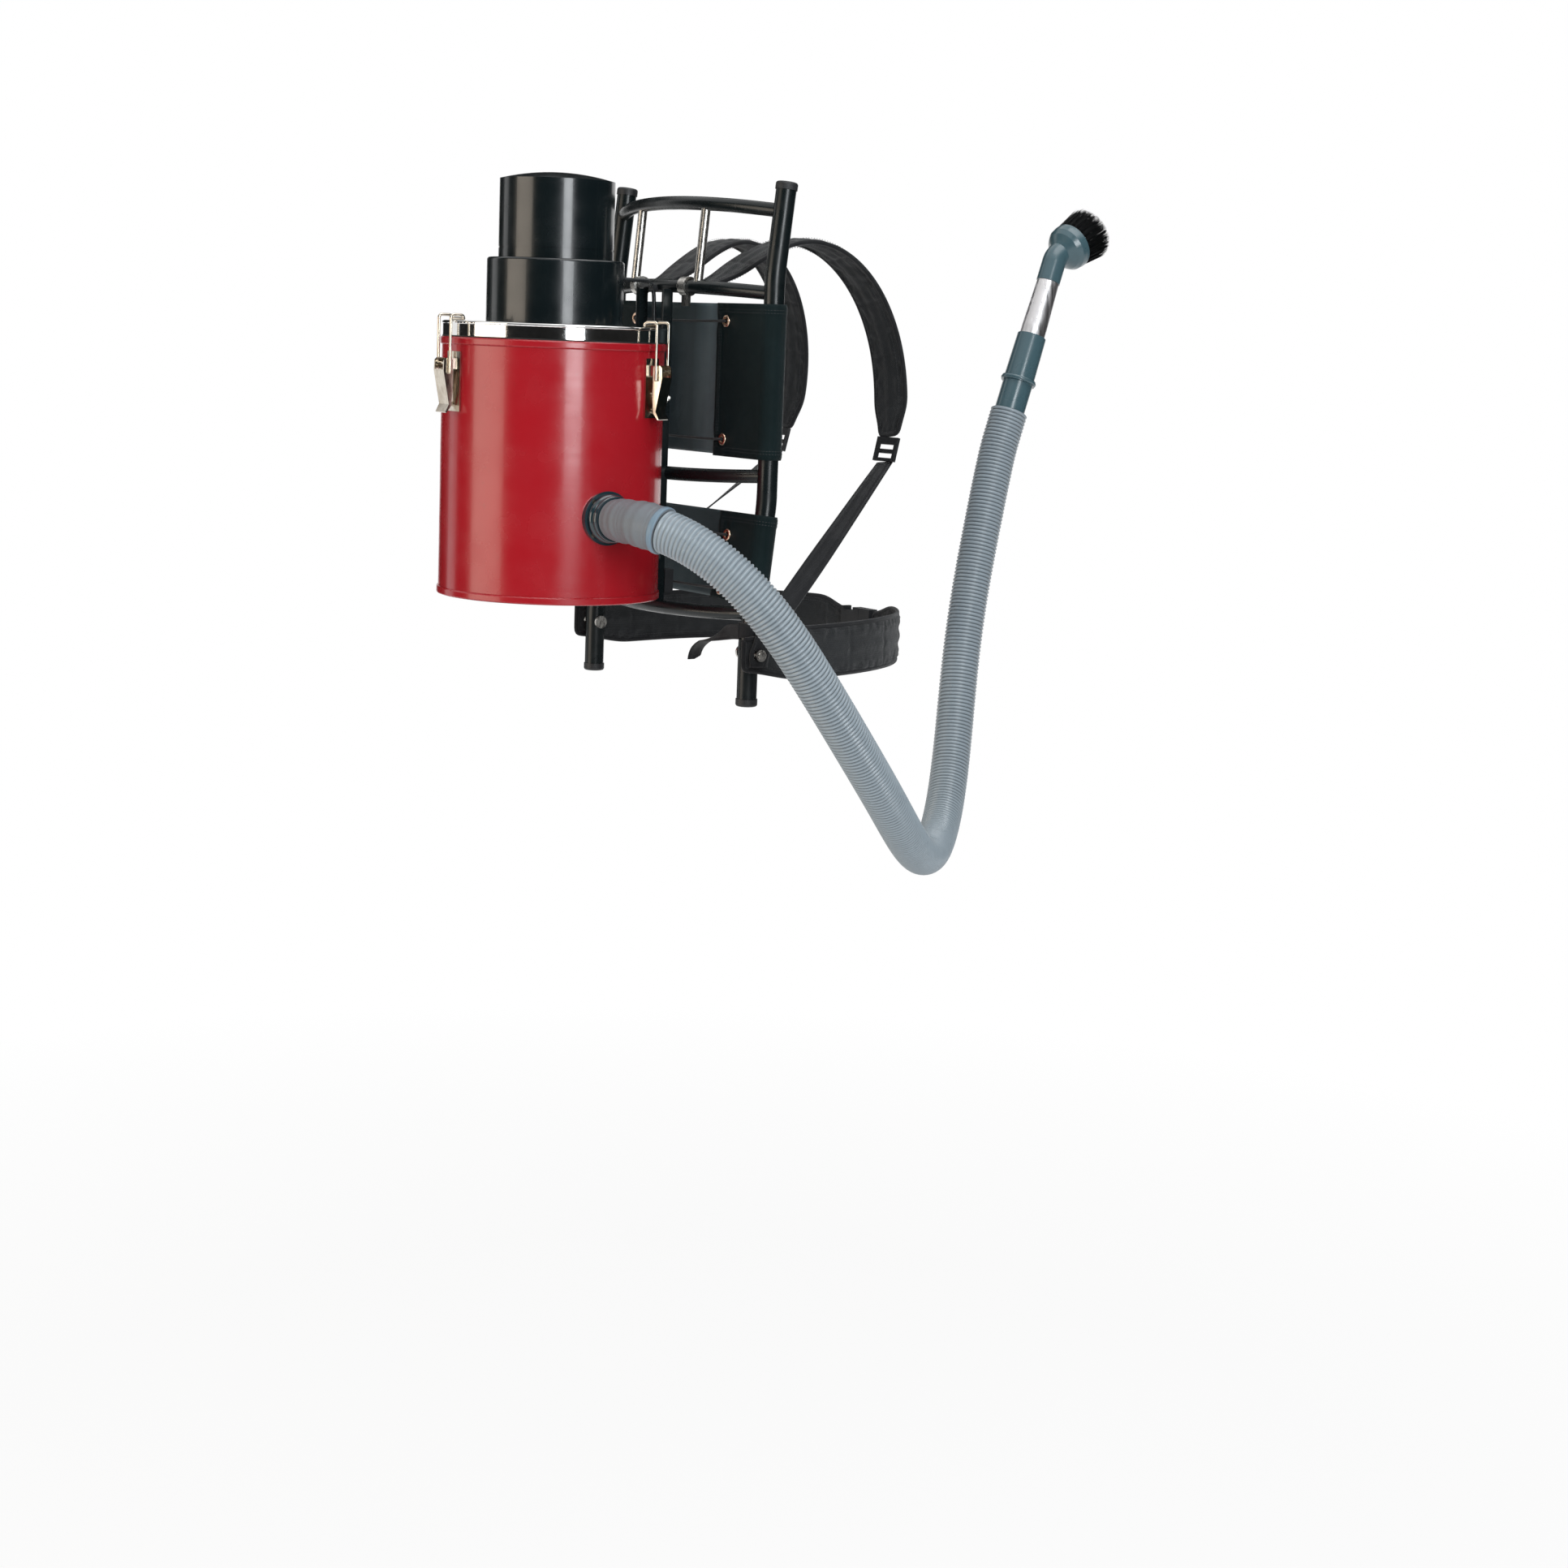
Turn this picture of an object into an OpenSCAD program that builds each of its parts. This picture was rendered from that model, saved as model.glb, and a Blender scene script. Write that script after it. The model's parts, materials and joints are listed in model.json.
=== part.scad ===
// Backpack vacuum cleaner: a steel canister with its motor head, latched lid and ribbed hose,
// carried on a bent tube pack frame with laced back bands and a harness.
// Millimetres. +X is the wearer's right, +Y the wearer's forward, +Z up.
// The origin is the middle of the face that the wearer's back rests on.

/* [Canister] */
// Outer diameter of the canister wall
can_d = 260; // [220:1:300]
// Height of the canister up to the underside of the lid
can_h = 300; // [270:1:340]
// Thickness of the canister's sheet
can_wall = 1.2; // [0.8:0.1:2]
// How far the rim and foot beads stand out of the wall
bead_out = 1.8; // [1:0.1:3]
// Height of the rim and foot beads
bead_h = 9; // [6:0.5:12]
// Height of the canister's floor above its lower edge
foot_rise = 8; // [6:0.5:20]

/* [Lid] */
// Height of the lid's bright band
lid_h = 17; // [14:0.5:24]
// Thickness of the lid's sheet
lid_sheet = 1.2; // [0.8:0.1:2]
// Diameter of the rolled lip round the lid's upper edge
lip_d = 4; // [3:0.1:5]
// Depth of the lid's pan below the top of the lip
pan_drop = 11; // [8:0.5:13]
// Thickness of the seal between canister and lid
gasket_t = 1.5; // [1:0.1:3]
// Radius of the air hole in the pan
pan_hole_r = 34; // [28:1:38]

/* [Motor head] */
// Outer diameter of the lower housing
lower_d = 160; // [154:1:180]
// Height of the lower housing above the pan
lower_h = 85; // [78:1:100]
// Outer diameter of the upper housing
upper_d = 134; // [126:1:142]
// Height of the upper housing
upper_h = 87; // [70:1:110]
// Rise of the domed cap
dome_h = 9; // [5:0.5:16]
// Wall of both housings
housing_wall = 2.5; // [2:0.1:3.5]
// Number of air slots round the step between the housings
vent_count = 30; // [12:1:36]
// Diameter of the fan casing
fan_d = 138; // [120:1:142]
// Height of the fan casing
fan_h = 40; // [34:1:46]
// Diameter of the motor casing
motor_d = 92; // [80:1:104]
// Height of the motor casing
motor_h = 76; // [60:1:90]
// Diameter of the motor shaft
shaft_d = 8; // [6:0.5:10]

/* [Filter] */
// Outer diameter over the pleats
filter_d = 144; // [110:1:160]
// Depth of one pleat
pleat_depth = 18; // [12:1:24]
// Number of pleats
pleat_count = 36; // [24:1:48]
// Height of the cartridge
filter_h = 160; // [120:1:180]
// Diameter of the rod that holds the cartridge
filter_rod_d = 8; // [6:0.5:10]

/* [Latches] */
// Diameter of the latch wire
bail_wire_d = 3.5; // [3:0.1:4]
// Distance between the two legs of a wire bail
bail_span = 29; // [28:0.5:34]
// Distance of the bail's legs from the canister wall
bail_out = 13.5; // [12.5:0.1:15]
// Drop of the lever's pivot below the canister's upper edge
lever_drop = 32; // [30:0.5:38]
// Distance from the lever's pivot to the bail's pivot
toggle_throw = 10; // [8:0.5:11]
// Width of the lever
lever_w = 24; // [22:0.5:24]
// Length of the lever below its pivot
lever_l = 55; // [45:1:65]
// Diameter of the pivot pin
latch_pin_d = 4; // [3:0.1:4.5]

/* [Inlet] */
// Height of the inlet's axis above the canister's lower edge
inlet_h = 100; // [70:1:130]
// Outer diameter of the inlet tube
inlet_tube_d = 44; // [40:1:46]
// Inner diameter of the inlet tube
inlet_bore_d = 38; // [34:1:39]
// Diameter of the flange on the wall
flange_d = 62; // [58:1:72]
// Largest diameter of the domed swivel collar
collar_d = 56; // [52:1:58]
// Length of the swivel collar
collar_l = 17; // [14:0.5:20]

/* [Hose] */
// Outer diameter over the ribs
hose_d = 50; // [46:1:54]
// Diameter between the ribs
hose_root_d = 45; // [43:0.5:47]
// Bore of the hose
hose_bore_d = 38.6; // [36:0.2:40]
// Number of ribs
rib_count = 180; // [60:1:200]
// Length of the soft cuff along the hose
cuff_l = 84; // [60:1:100]

/* [Wand] */
// Diameter of the spigot that plugs into the hose
spigot_d = 38; // [34:0.5:38.4]
// Length of the spigot inside the hose
spigot_l = 30; // [20:1:40]
// Length of the cuff's lower grip below the step
grip_l = 40; // [30:1:60]
// Diameter of the stepped ring
step_d = 48; // [44:0.5:52]
// Length of the cuff's sleeve above the step
sleeve_l = 60; // [40:1:80]
// Outer diameter of the sleeve
sleeve_d = 41; // [40:0.5:44]
// Outer diameter of the metal tube
wand_d = 34; // [30:0.5:36]
// Length of the metal tube that shows
wand_l = 77; // [60:1:300]
// Diameter of the tube where it meets the brush
wand_end_d = 30; // [28:0.5:32]
// Wall of the metal tube
wand_wall = 1.2; // [1:0.1:1.5]
// Lean of the wand from upright
wand_lean = 20; // [10:1:30]

/* [Brush] */
// Outer diameter of the brush neck
neck_d = 32; // [31:0.5:36]
// Angle of the elbow between neck and bell
elbow_angle = 42; // [35:1:70]
// Radius of the elbow's centreline
elbow_r = 22; // [20:1:30]
// Largest diameter of the bell
bell_d = 62; // [56:1:70]
// Depth of the bell
bell_h = 26; // [20:1:34]
// Free length of the bristles
bristle_l = 40; // [20:1:45]
// Diameter of one tuft
tuft_d = 4.4; // [3:0.1:5]

/* [Pack frame] */
// Diameter of the frame's tube
tube_d = 24; // [20:1:26]
// Wall of the frame's tube
tube_wall = 1.6; // [1.2:0.1:2.5]
// Distance between the centres of the two uprights
frame_w = 350; // [320:1:400]
// Lean of the sloping stretches of an upright
tube_lean = 6.5; // [4:0.5:9]
// Radius of the upright's bends
tube_bend_r = 180; // [120:5:240]
// Height of an upright's lower end
foot_z = -300; // [-330:1:-280]
// Height of an upright's upper end
head_z = 289; // [280:1:330]
// Diameter of the crossbars
bar_d = 16; // [14:0.5:18]
// How far the crossbars bulge backwards
bar_bulge = 45; // [40:0.5:50]
// Height of the top crossbar's ends
top_bar_z = 265; // [250:1:275]
// Height of the second crossbar's ends
second_bar_z = 171; // [168:1:190]
// Height of the middle crossbar's ends
middle_bar_z = -39; // [-50:1:-36]
// Height of the bottom crossbar's ends
bottom_bar_z = -200; // [-212:1:-200]
// Diameter of the bright load rods
rod_d = 11; // [6:0.5:13]
// Distance between the two load rods
rod_gap = 140; // [100:1:180]

/* [Back bands] */
// Thickness of the band material
band_t = 3.5; // [2.5:0.1:4]
// Upper edge of the upper band
upper_band_top = 159; // [140:1:160]
// Height of the upper band
upper_band_h = 179; // [140:1:180]
// Upper edge of the lower band
lower_band_top = -85; // [-95:1:-70]
// Height of the lower band along its slope
lower_band_h = 104; // [85:1:105]
// Distance between the free edges of the upper band's rear flaps
flap_gap = 160; // [120:1:200]
// Distance between the free edges of the lower band's rear flaps
lower_flap_gap = 208; // [140:1:220]
// Diameter of an eyelet
eyelet_d = 15; // [12:0.5:18]
// Diameter of the lacing cord
lace_d = 3; // [2:0.1:4]

/* [Canister mounting] */
// Thickness of the saddle plates
saddle_t = 3; // [2:0.1:4]
// Height of one saddle plate
saddle_h = 30; // [24:1:40]
// Half angle that a saddle covers round the canister
saddle_half_angle = 24; // [22:1:28]
// Height of the lower saddle's middle above the canister's lower edge
low_saddle_h = 60; // [40:1:90]
// Height of the upper saddle's middle above the canister's lower edge
high_saddle_h = 235; // [200:1:250]
// Distance between the two rails
rail_gap = 56; // [46:1:62]
// Thickness of a rail
rail_t = 6; // [4:0.5:8]
// Diameter of the saddle bolts
bolt_d = 6; // [5:0.5:8]

/* [Harness] */
// Diameter of the clevis pins
pin_d = 8; // [6:0.5:9]
// Height of the clevis pins
pin_z = -246; // [-265:1:-240]
// Width of a shoulder pad
pad_w = 58; // [45:1:70]
// Thickness of a shoulder pad
pad_t = 12; // [8:0.5:16]
// Width of the waist belt
belt_w = 58; // [45:1:75]
// Thickness of the waist belt
belt_t = 8; // [6:0.5:8.5]
// Width of the webbing
web_w = 25; // [20:1:32]
// Thickness of the webbing
web_t = 2; // [1.5:0.1:2.4]

/* [Lead and switch] */
// Diameter of the lead
lead_d = 5; // [4:0.1:5.4]
// Height of the rocker switch above the lid's pan
switch_rise = 44; // [36:1:54]
// Angle that the rocker tips through
rocker_throw = 24; // [16:1:28]

/* [Hidden] */

// fits
running = 0.08;   // radial clearance of a pin that turns
seat = 0.3;       // gap between pieces that lie against each other
snug = 0.1;       // radial clearance of a fastener in its hole
joint_lap = 1;  // how far a straight stretch runs into a bend
joint_skin = 0.1; // how much thicker a bend is than a straight stretch

// radii
can_r = can_d / 2;
lower_r = lower_d / 2;
upper_r = upper_d / 2;
tube_r = tube_d / 2;
bar_r = bar_d / 2;
wire_r = bail_wire_d / 2;

// pack frame: an upright is four straight legs joined by three gentle bends
upright_x = frame_w / 2;
upright_y = -(band_t + seat + tube_r);            // axis of the middle leg
knee_z = [-232, -70, 190];                        // where the axis changes direction
lean_run = (knee_z[1] - knee_z[0]) * tan(tube_lean);
foot_y = upright_y - lean_run;
head_y = upright_y + (head_z - knee_z[2]) * tan(tube_lean);
knee_cut = tube_bend_r * tan(tube_lean / 2);      // straight length that a bend takes

function upright_y_at(z) =
  z < knee_z[0] ? foot_y :
  z < knee_z[1] ? foot_y + (z - knee_z[0]) * tan(tube_lean) :
  z < knee_z[2] ? upright_y : upright_y + (z - knee_z[2]) * tan(tube_lean);

// crossbars: arcs through both upright axes, tipped so that the middle lies higher or lower
bar_arc_r = (pow(upright_x, 2) + pow(bar_bulge, 2)) / (2 * bar_bulge);
bar_half_angle = asin(upright_x / bar_arc_r);
function bar_back(x) = bar_bulge - (bar_arc_r - sqrt(pow(bar_arc_r, 2) - x * x));
function bar_point(z, tip, x) =
  [x, upright_y_at(z) - bar_back(x) * cos(tip), z + bar_back(x) * sin(tip)];
top_bar_tip = 12;
second_bar_tip = 8;
middle_bar_tip = -7;
bottom_bar_tip = -5;
rod_x = rod_gap / 2;

// canister: its wall stands just behind the middle of the bars
bar_to_can = 7;
can_y = upright_y - bar_bulge - bar_r - bar_to_can - can_r;
can_z = -190;
rim_h = can_h;
lip_r = lip_d / 2;
lip_centre_r = can_r - 1;
lip_h = rim_h + lid_h - lip_r;
pan_h = rim_h + lid_h - pan_drop;
switch_h = pan_h + switch_rise;
step_h = pan_h + lower_h;
top_h = step_h + upper_h;
bolt_angle = 18;
saddle_r = can_r + seat;

// latches
latch_angles = [-90, 30, 150];
latch_pin_out = bail_out + 0.5;
lever_pivot_h = can_h - lever_drop;
bail_pivot_h = lever_pivot_h - toggle_throw;
hook_angle = 25;
hook_gap = lip_r + wire_r + 2 * seat;
hook_out = lip_centre_r - can_r - hook_gap * sin(hook_angle);
hook_h = lip_h + hook_gap * cos(hook_angle);
bail_bend_r = 4;
ear_t = 2;
ear_half = lever_w / 2 - 2 - seat - ear_t;

// hose route: B-spline control points, from inside the collar to inside the wand cuff
hose_route = [[120, -206, -90], [150, -206, -90], [180, -206, -90], [212, -202, -91],
  [260, -178, -104], [302, -138, -142], [326, -90, -202], [330, -36, -274], [316, 28, -348],
  [288, 98, -420], [240, 168, -480], [180, 240, -516], [116, 308, -514], [66, 362, -466],
  [32, 396, -384], [10, 418, -292], [-4, 440, -200], [-14, 466, -104], [-25.4, 491.6, -21.4],
  [-26.7, 501.8, 6.8], [-28, 512, 35], [-29.3, 522.2, 63.2]];
hose_end = [-28, 512, 35];
wand_turn = 7.4;                                  // swing of the wand towards the wearer's left
hose_turns = len(hose_route) - 3;

// strap routes on the wearer's right; the left ones are mirrored
pad_route = [[51, -58, 171], [53, -32, 179], [55, -6, 190], [60, 30, 216], [68, 74, 238],
  [76, 120, 234], [84, 160, 208], [92, 190, 166], [100, 208, 112], [107, 212, 56],
  [114, 206, 8], [120, 196, -36]];
belt_h = pin_z + 6;
belt_route = [[upright_x + 15, -90, pin_z], [upright_x + 17, -52, pin_z], [upright_x + 17.4, -14, pin_z],
  [upright_x + 21, 40, pin_z + 1], [upright_x + 18, 100, pin_z + 3], [upright_x + 1, 160, pin_z + 5],
  [upright_x - 33, 212, belt_h], [86.4, 252, belt_h], [31.4, 257, belt_h], [-23.6, 252, belt_h]];
tail_h = pin_z + 26;
tail_y = upright_y_at(tail_h) - tube_r - 2.5;
tail_route = [[upright_x + 25, tail_y, tail_h], [upright_x, tail_y, tail_h],
  [upright_x - 27, tail_y, tail_h - 3], [upright_x - 53, tail_y + 0.6, tail_h - 12],
  [upright_x - 81, tail_y + 1.6, tail_h - 26], [upright_x - 105, tail_y + 2.6, tail_h - 42],
  [upright_x - 97, tail_y + 3.4, tail_h - 66]];
lead_route = [[0, -146, 182], [0, -128, 182], [0, -110, 182], [0, -92, 182], [0, -76, 183],
  [0, -69.6, 171], [0.6, -70, 150], [2, -68, 110], [5, -65, 60], [8, -66, 10], [11.5, -71, -26],
  [12, -72.2, -45], [12, -71, -64], [12, -66, -92], [11, -60, -120], [10, -56.5, -140],
  [10, -56.5, -160], [10, -56.5, -178]];

function unit(v) = v / norm(v);
function spline(route, u) =
  let (i = max(0, min(floor(u), len(route) - 4)), t = u - i)
  (pow(1 - t, 3) * route[i] + (3 * pow(t, 3) - 6 * t * t + 4) * route[i + 1]
    + (-3 * pow(t, 3) + 3 * t * t + 3 * t + 1) * route[i + 2] + pow(t, 3) * route[i + 3]) / 6;
function heading(route, u) = unit(spline(route, u + 0.01) - spline(route, u - 0.01));

// frames [centre, side, up] along a route, the side axis kept near a fixed direction
function held_frames(route, us, side) = [for (u = us)
  let (d = heading(route, u), n = unit(side - (side * d) * d)) [spline(route, u), n, cross(d, n)]];

// frames along a route that do not twist about it
function free_frames(route, us, side) = [
  for (i = 0, n = side; i < len(us); i = i + 1, n = i < len(us)
      ? let (d = heading(route, us[i])) unit(n - (n * d) * d) : n)
    let (d = heading(route, us[i]), m = unit(n - (n * d) * d)) [spline(route, us[i]), m, cross(d, m)]];

// a ring of points: an outline [[side, up], ...] set in a frame
function ring(frame, outline) = [for (p = outline) frame[0] + p[0] * frame[1] + p[1] * frame[2]];
function round_outline(r, sides) = [for (k = [0 : sides - 1])
  let (a = 360 * k / sides) [r * cos(a), r * sin(a)]];
function flat_outline(w, t) = [[w / 2, -t / 2], [w / 2, t / 2], [-w / 2, t / 2], [-w / 2, -t / 2]];
// a padded strap's section: crowned faces drawn in to thin edges
function padded_outline(w, t) = [for (k = [0 : 11]) let (a = 30 * k)
  [w / 2 * cos(a), t / 2 * (sin(a) >= 0 ? 1 : -1) * pow(abs(sin(a)), 0.45)]];

// side faces between rings of n points, as triangles; back = true turns them inwards
function side_faces(rings, n, first, back) = [for (i = [0 : rings - 2]) for (k = [0 : n - 1])
  let (a = first + i * n + k, b = first + i * n + (k + 1) % n, c = a + n, d = b + n)
  each (back ? [[a, b, d], [a, d, c]] : [[a, d, b], [a, c, d]])];
function fan_face(n, first, back) = [for (k = [1 : n - 2])
  back ? [first, first + k, first + k + 1] : [first, first + k + 1, first + k]];

// a solid strip through rings of equal point count
module strip(rings) {
  n = len(rings[0]);
  polyhedron(points = [for (r = rings) each r],
    faces = concat(side_faces(len(rings), n, 0, false), fan_face(n, 0, true),
      fan_face(n, (len(rings) - 1) * n, false)));
}

// a tube with its bore: outer rings and fewer inner rings, ends closed by annuli
module sleeve(outer, inner) {
  n = len(outer[0]);
  first = len(outer) * n;
  last_outer = first - n;
  last_inner = first + (len(inner) - 1) * n;
  ends = [for (k = [0 : n - 1]) let (m = (k + 1) % n) each [
    [k, first + m, first + k], [k, m, first + m],
    [last_outer + k, last_inner + m, last_outer + m],
    [last_outer + k, last_inner + k, last_inner + m]]];
  polyhedron(points = concat([for (r = outer) each r], [for (r = inner) each r]),
    faces = concat(side_faces(len(outer), n, 0, false), side_faces(len(inner), n, first, true), ends));
}

// arc length along the hose as a table from length to spline parameter
hose_steps = [for (i = [0 : 20 * hose_turns]) i / 20];
hose_table = [for (i = 0, s = 0; i < len(hose_steps); i = i + 1,
    s = i < len(hose_steps)
      ? s + norm(spline(hose_route, hose_steps[i]) - spline(hose_route, hose_steps[i - 1])) : s)
  [s, hose_steps[i]]];
hose_run = hose_table[len(hose_table) - 1][0];
function hose_u(s) = lookup(s, hose_table);
echo(hose_length = hose_run);

module at_can() {
  translate([0, can_y, can_z]) children();
}

// local frame on the canister wall: +X outwards, +Y along the wall, Z from the lower edge
module at_wall(angle) {
  at_can() rotate([0, 0, angle]) translate([can_r, 0, 0]) children();
}

module ring_2d(r_in, r_out) {
  difference() {
    circle(r = r_out, $fn = 64);
    circle(r = r_in, $fn = 64);
  }
}

// revolved washer between two radii
module washer(r_in, r_out, h) {
  linear_extrude(h) ring_2d(r_in, r_out);
}

// round bar from p to q
module round_bar(p, q, d) {
  v = q - p;
  translate(p) rotate([0, acos(v[2] / norm(v)), atan2(v[1], v[0])])
    cylinder(d = d, h = norm(v), $fn = 48);
}

/* ---- pack frame ---- */

// straight legs joined by bends; a positive bend leans the next leg towards +Y.
// A leg runs a little way into the bends at its ends, whose wall is a hair thicker.
module pipe(legs, bends, bend_r, r_in, r_out, i = 0) {
  below = i > 0 ? joint_lap : 0;
  above = i < len(bends) ? joint_lap : 0;
  translate([0, 0, -below]) linear_extrude(legs[i] + below + above) pipe_section(r_in, r_out);
  if (i < len(bends)) translate([0, 0, legs[i]]) {
    a = abs(bends[i]);
    flip = bends[i] < 0 ? 1 : 0;
    mirror([0, flip, 0]) {
      translate([0, bend_r, 0]) rotate([90, 0, -90]) rotate_extrude(angle = a, $fn = 96)
        translate([bend_r, 0]) pipe_section(r_in > 0 ? r_in - joint_skin : 0, r_out + joint_skin);
      translate([0, bend_r * (1 - cos(a)), bend_r * sin(a)]) rotate([-a, 0, 0])
        mirror([0, flip, 0]) pipe(legs, bends, bend_r, r_in, r_out, i + 1);
    }
  }
}

module pipe_section(r_in, r_out) {
  if (r_in > 0) ring_2d(r_in, r_out);
  else circle(r = r_out, $fn = 64);
}

module upright_pipe(x, r_in, r_out) {
  legs = [knee_z[0] - foot_z - knee_cut,
    (knee_z[1] - knee_z[0]) / cos(tube_lean) - 2 * knee_cut,
    knee_z[2] - knee_z[1] - 2 * knee_cut,
    (head_z - knee_z[2]) / cos(tube_lean) - knee_cut];
  translate([x, foot_y, foot_z])
    pipe(legs, [tube_lean, -tube_lean, tube_lean], tube_bend_r, r_in, r_out);
}

module upright(x) {
  color("#141618") difference() {
    upright_pipe(x, tube_r - tube_wall, tube_r);
    translate([x, foot_y, pin_z]) rotate([0, 90, 0])
      cylinder(d = pin_d + 2 * snug, h = tube_d + 10, center = true, $fn = 48);
  }
}

module bar_pipe(z, tip, r) {
  translate([0, upright_y_at(z), z]) rotate([-tip, 0, 0])
    translate([0, bar_arc_r - bar_bulge, 0]) rotate([0, 0, -90 - bar_half_angle])
      rotate_extrude(angle = 2 * bar_half_angle, $fn = 128)
        translate([bar_arc_r, 0]) circle(r = r, $fn = 48);
}

module crossbar(z, tip) {
  color("#141618") difference() {
    bar_pipe(z, tip, bar_r);
    for (x = [-upright_x, upright_x]) upright_pipe(x, 0, tube_r);
  }
}

module load_rods() {
  color("#1a1c1e") for (x = [-rod_x, rod_x]) difference() {
    round_bar(bar_point(second_bar_z, second_bar_tip, x), bar_point(top_bar_z, top_bar_tip, x), rod_d);
    bar_pipe(second_bar_z, second_bar_tip, bar_r);
    bar_pipe(top_bar_z, top_bar_tip, bar_r);
  }
}

// plug-in caps on both ends of the uprights
module tube_cap() {
  cap_h = 9;
  lip = 1;
  plug_h = 14;
  translate([0, 0, -plug_h]) cylinder(r = tube_r - tube_wall - snug, h = plug_h, $fn = 64);
  rotate_extrude($fn = 64) difference() {
    union() {
      square([tube_r + lip, cap_h - 3]);
      translate([0, cap_h - 3]) square([tube_r + lip - 3, 3]);
      translate([tube_r + lip - 3, cap_h - 3]) circle(r = 3, $fn = 48);
    }
    translate([-10, -10]) square([10, 40]);
    translate([tube_r + lip - 6, -3]) square([6, 3]);
  }
}

module upright_caps() {
  color("#0e0f10") for (x = [-upright_x, upright_x]) {
    translate([x, foot_y, foot_z]) mirror([0, 0, 1]) tube_cap();
    translate([x, head_y, head_z]) rotate([-tube_lean, 0, 0]) tube_cap();
  }
}

/* ---- canister mounting ---- */

module mount_rails() {
  rail_front = upright_y - bar_bulge - 2;
  rail_back = can_y + saddle_r;
  color("#1b1d1f") for (x = [-rail_gap / 2, rail_gap / 2]) difference() {
    translate([x - rail_t / 2, rail_back, bottom_bar_z])
      cube([rail_t, rail_front - rail_back, second_bar_z - bottom_bar_z + 2]);
    translate([0, can_y, bottom_bar_z - 1]) cylinder(r = saddle_r + saddle_t + seat, h = 500, $fn = 128);
    bar_pipe(second_bar_z, second_bar_tip, bar_r);
    bar_pipe(middle_bar_z, middle_bar_tip, bar_r);
    bar_pipe(bottom_bar_z, bottom_bar_tip, bar_r);
  }
}

module saddle_bolt_places() {
  for (h = [low_saddle_h, high_saddle_h]) for (a = [90 - bolt_angle, 90 + bolt_angle])
    at_can() rotate([0, 0, a]) translate([0, 0, h]) rotate([0, 90, 0]) children();
}

module can_saddles() {
  color("#1b1d1f") difference() {
    for (h = [low_saddle_h, high_saddle_h])
      at_can() translate([0, 0, h - saddle_h / 2]) rotate([0, 0, 90 - saddle_half_angle])
        rotate_extrude(angle = 2 * saddle_half_angle, $fn = 128)
          translate([saddle_r, 0]) square([saddle_t, saddle_h]);
    saddle_bolt_places() cylinder(d = bolt_d + 2 * snug, h = can_r + 20, $fn = 48);
  }
}

module mount_bolts() {
  head_h = 3;
  nut_h = 5;
  color("#b9b6ae") saddle_bolt_places() {
    translate([0, 0, can_r - can_wall - seat - head_h]) cylinder(d = 2 * bolt_d, h = head_h, $fn = 48);
    translate([0, 0, can_r - can_wall - seat]) cylinder(d = bolt_d, h = can_wall + saddle_t + nut_h + 4, $fn = 48);
    translate([0, 0, saddle_r + saddle_t + seat]) cylinder(d = 1.9 * bolt_d, h = nut_h, $fn = 6);
  }
}

/* ---- canister ---- */

module bead_2d(h) {
  translate([can_r, h]) intersection() {
    union() {
      translate([0, bead_out]) circle(r = bead_out, $fn = 48);
      translate([0, bead_h - bead_out]) circle(r = bead_out, $fn = 48);
      translate([-can_wall, bead_out]) square([can_wall + bead_out, bead_h - 2 * bead_out]);
    }
    translate([-can_wall / 2, 0]) square([2 * bead_out, bead_h]);
  }
}

module rivet_places() {
  for (a = latch_angles) for (h = [lever_pivot_h - 46, lever_pivot_h - 28])
    at_wall(a) translate([0, 0, h]) rotate([0, 90, 0]) children();
}

module flange_rivet_places() {
  for (a = [45 : 90 : 315]) at_can() translate([can_r, 0, inlet_h])
    rotate([a, 0, 0]) translate([0, 0, inlet_tube_d / 4 + flange_d / 4]) rotate([0, 90, 0]) children();
}

module canister() {
  color("#a41c28") difference() {
    at_can() rotate_extrude($fn = 180) union() {
      translate([can_r - can_wall, 0]) square([can_wall, can_h - gasket_t]);
      translate([0, foot_rise]) square([can_r - can_wall / 2, can_wall]);
      bead_2d(0);
      bead_2d(can_h - gasket_t - bead_h);
    }
    at_can() translate([can_r, 0, inlet_h]) rotate([0, 90, 0])
      cylinder(d = inlet_tube_d + 2 * snug, h = 60, center = true, $fn = 96);
    saddle_bolt_places() cylinder(d = bolt_d + 2 * snug, h = can_r + 20, $fn = 48);
    rivet_places() cylinder(d = rivet_d + 2 * snug, h = 20, center = true, $fn = 32);
    flange_rivet_places() cylinder(d = rivet_d + 2 * snug, h = 30, center = true, $fn = 32);
  }
}

// rivet along +Z: d across the shank, head standing on grip, tail head below -reach
module rivet(d, grip, reach) {
  translate([0, 0, grip]) cylinder(d = 1.8 * d, h = 1.2, $fn = 32);
  translate([0, 0, -reach]) cylinder(d = d, h = grip + reach, $fn = 32);
  translate([0, 0, -reach - 1]) cylinder(d = 1.6 * d, h = 1, $fn = 32);
}

module can_rivets() {
  color("#c9c2b4") {
    rivet_places() rivet(rivet_d, seat + latch_plate_t + snug, can_wall + seat);
    flange_rivet_places() rivet(rivet_d, flange_t - 1.4, can_wall + 2.4);
  }
}

/* ---- inlet ---- */

flange_t = 3;
rivet_d = 3.2;

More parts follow.
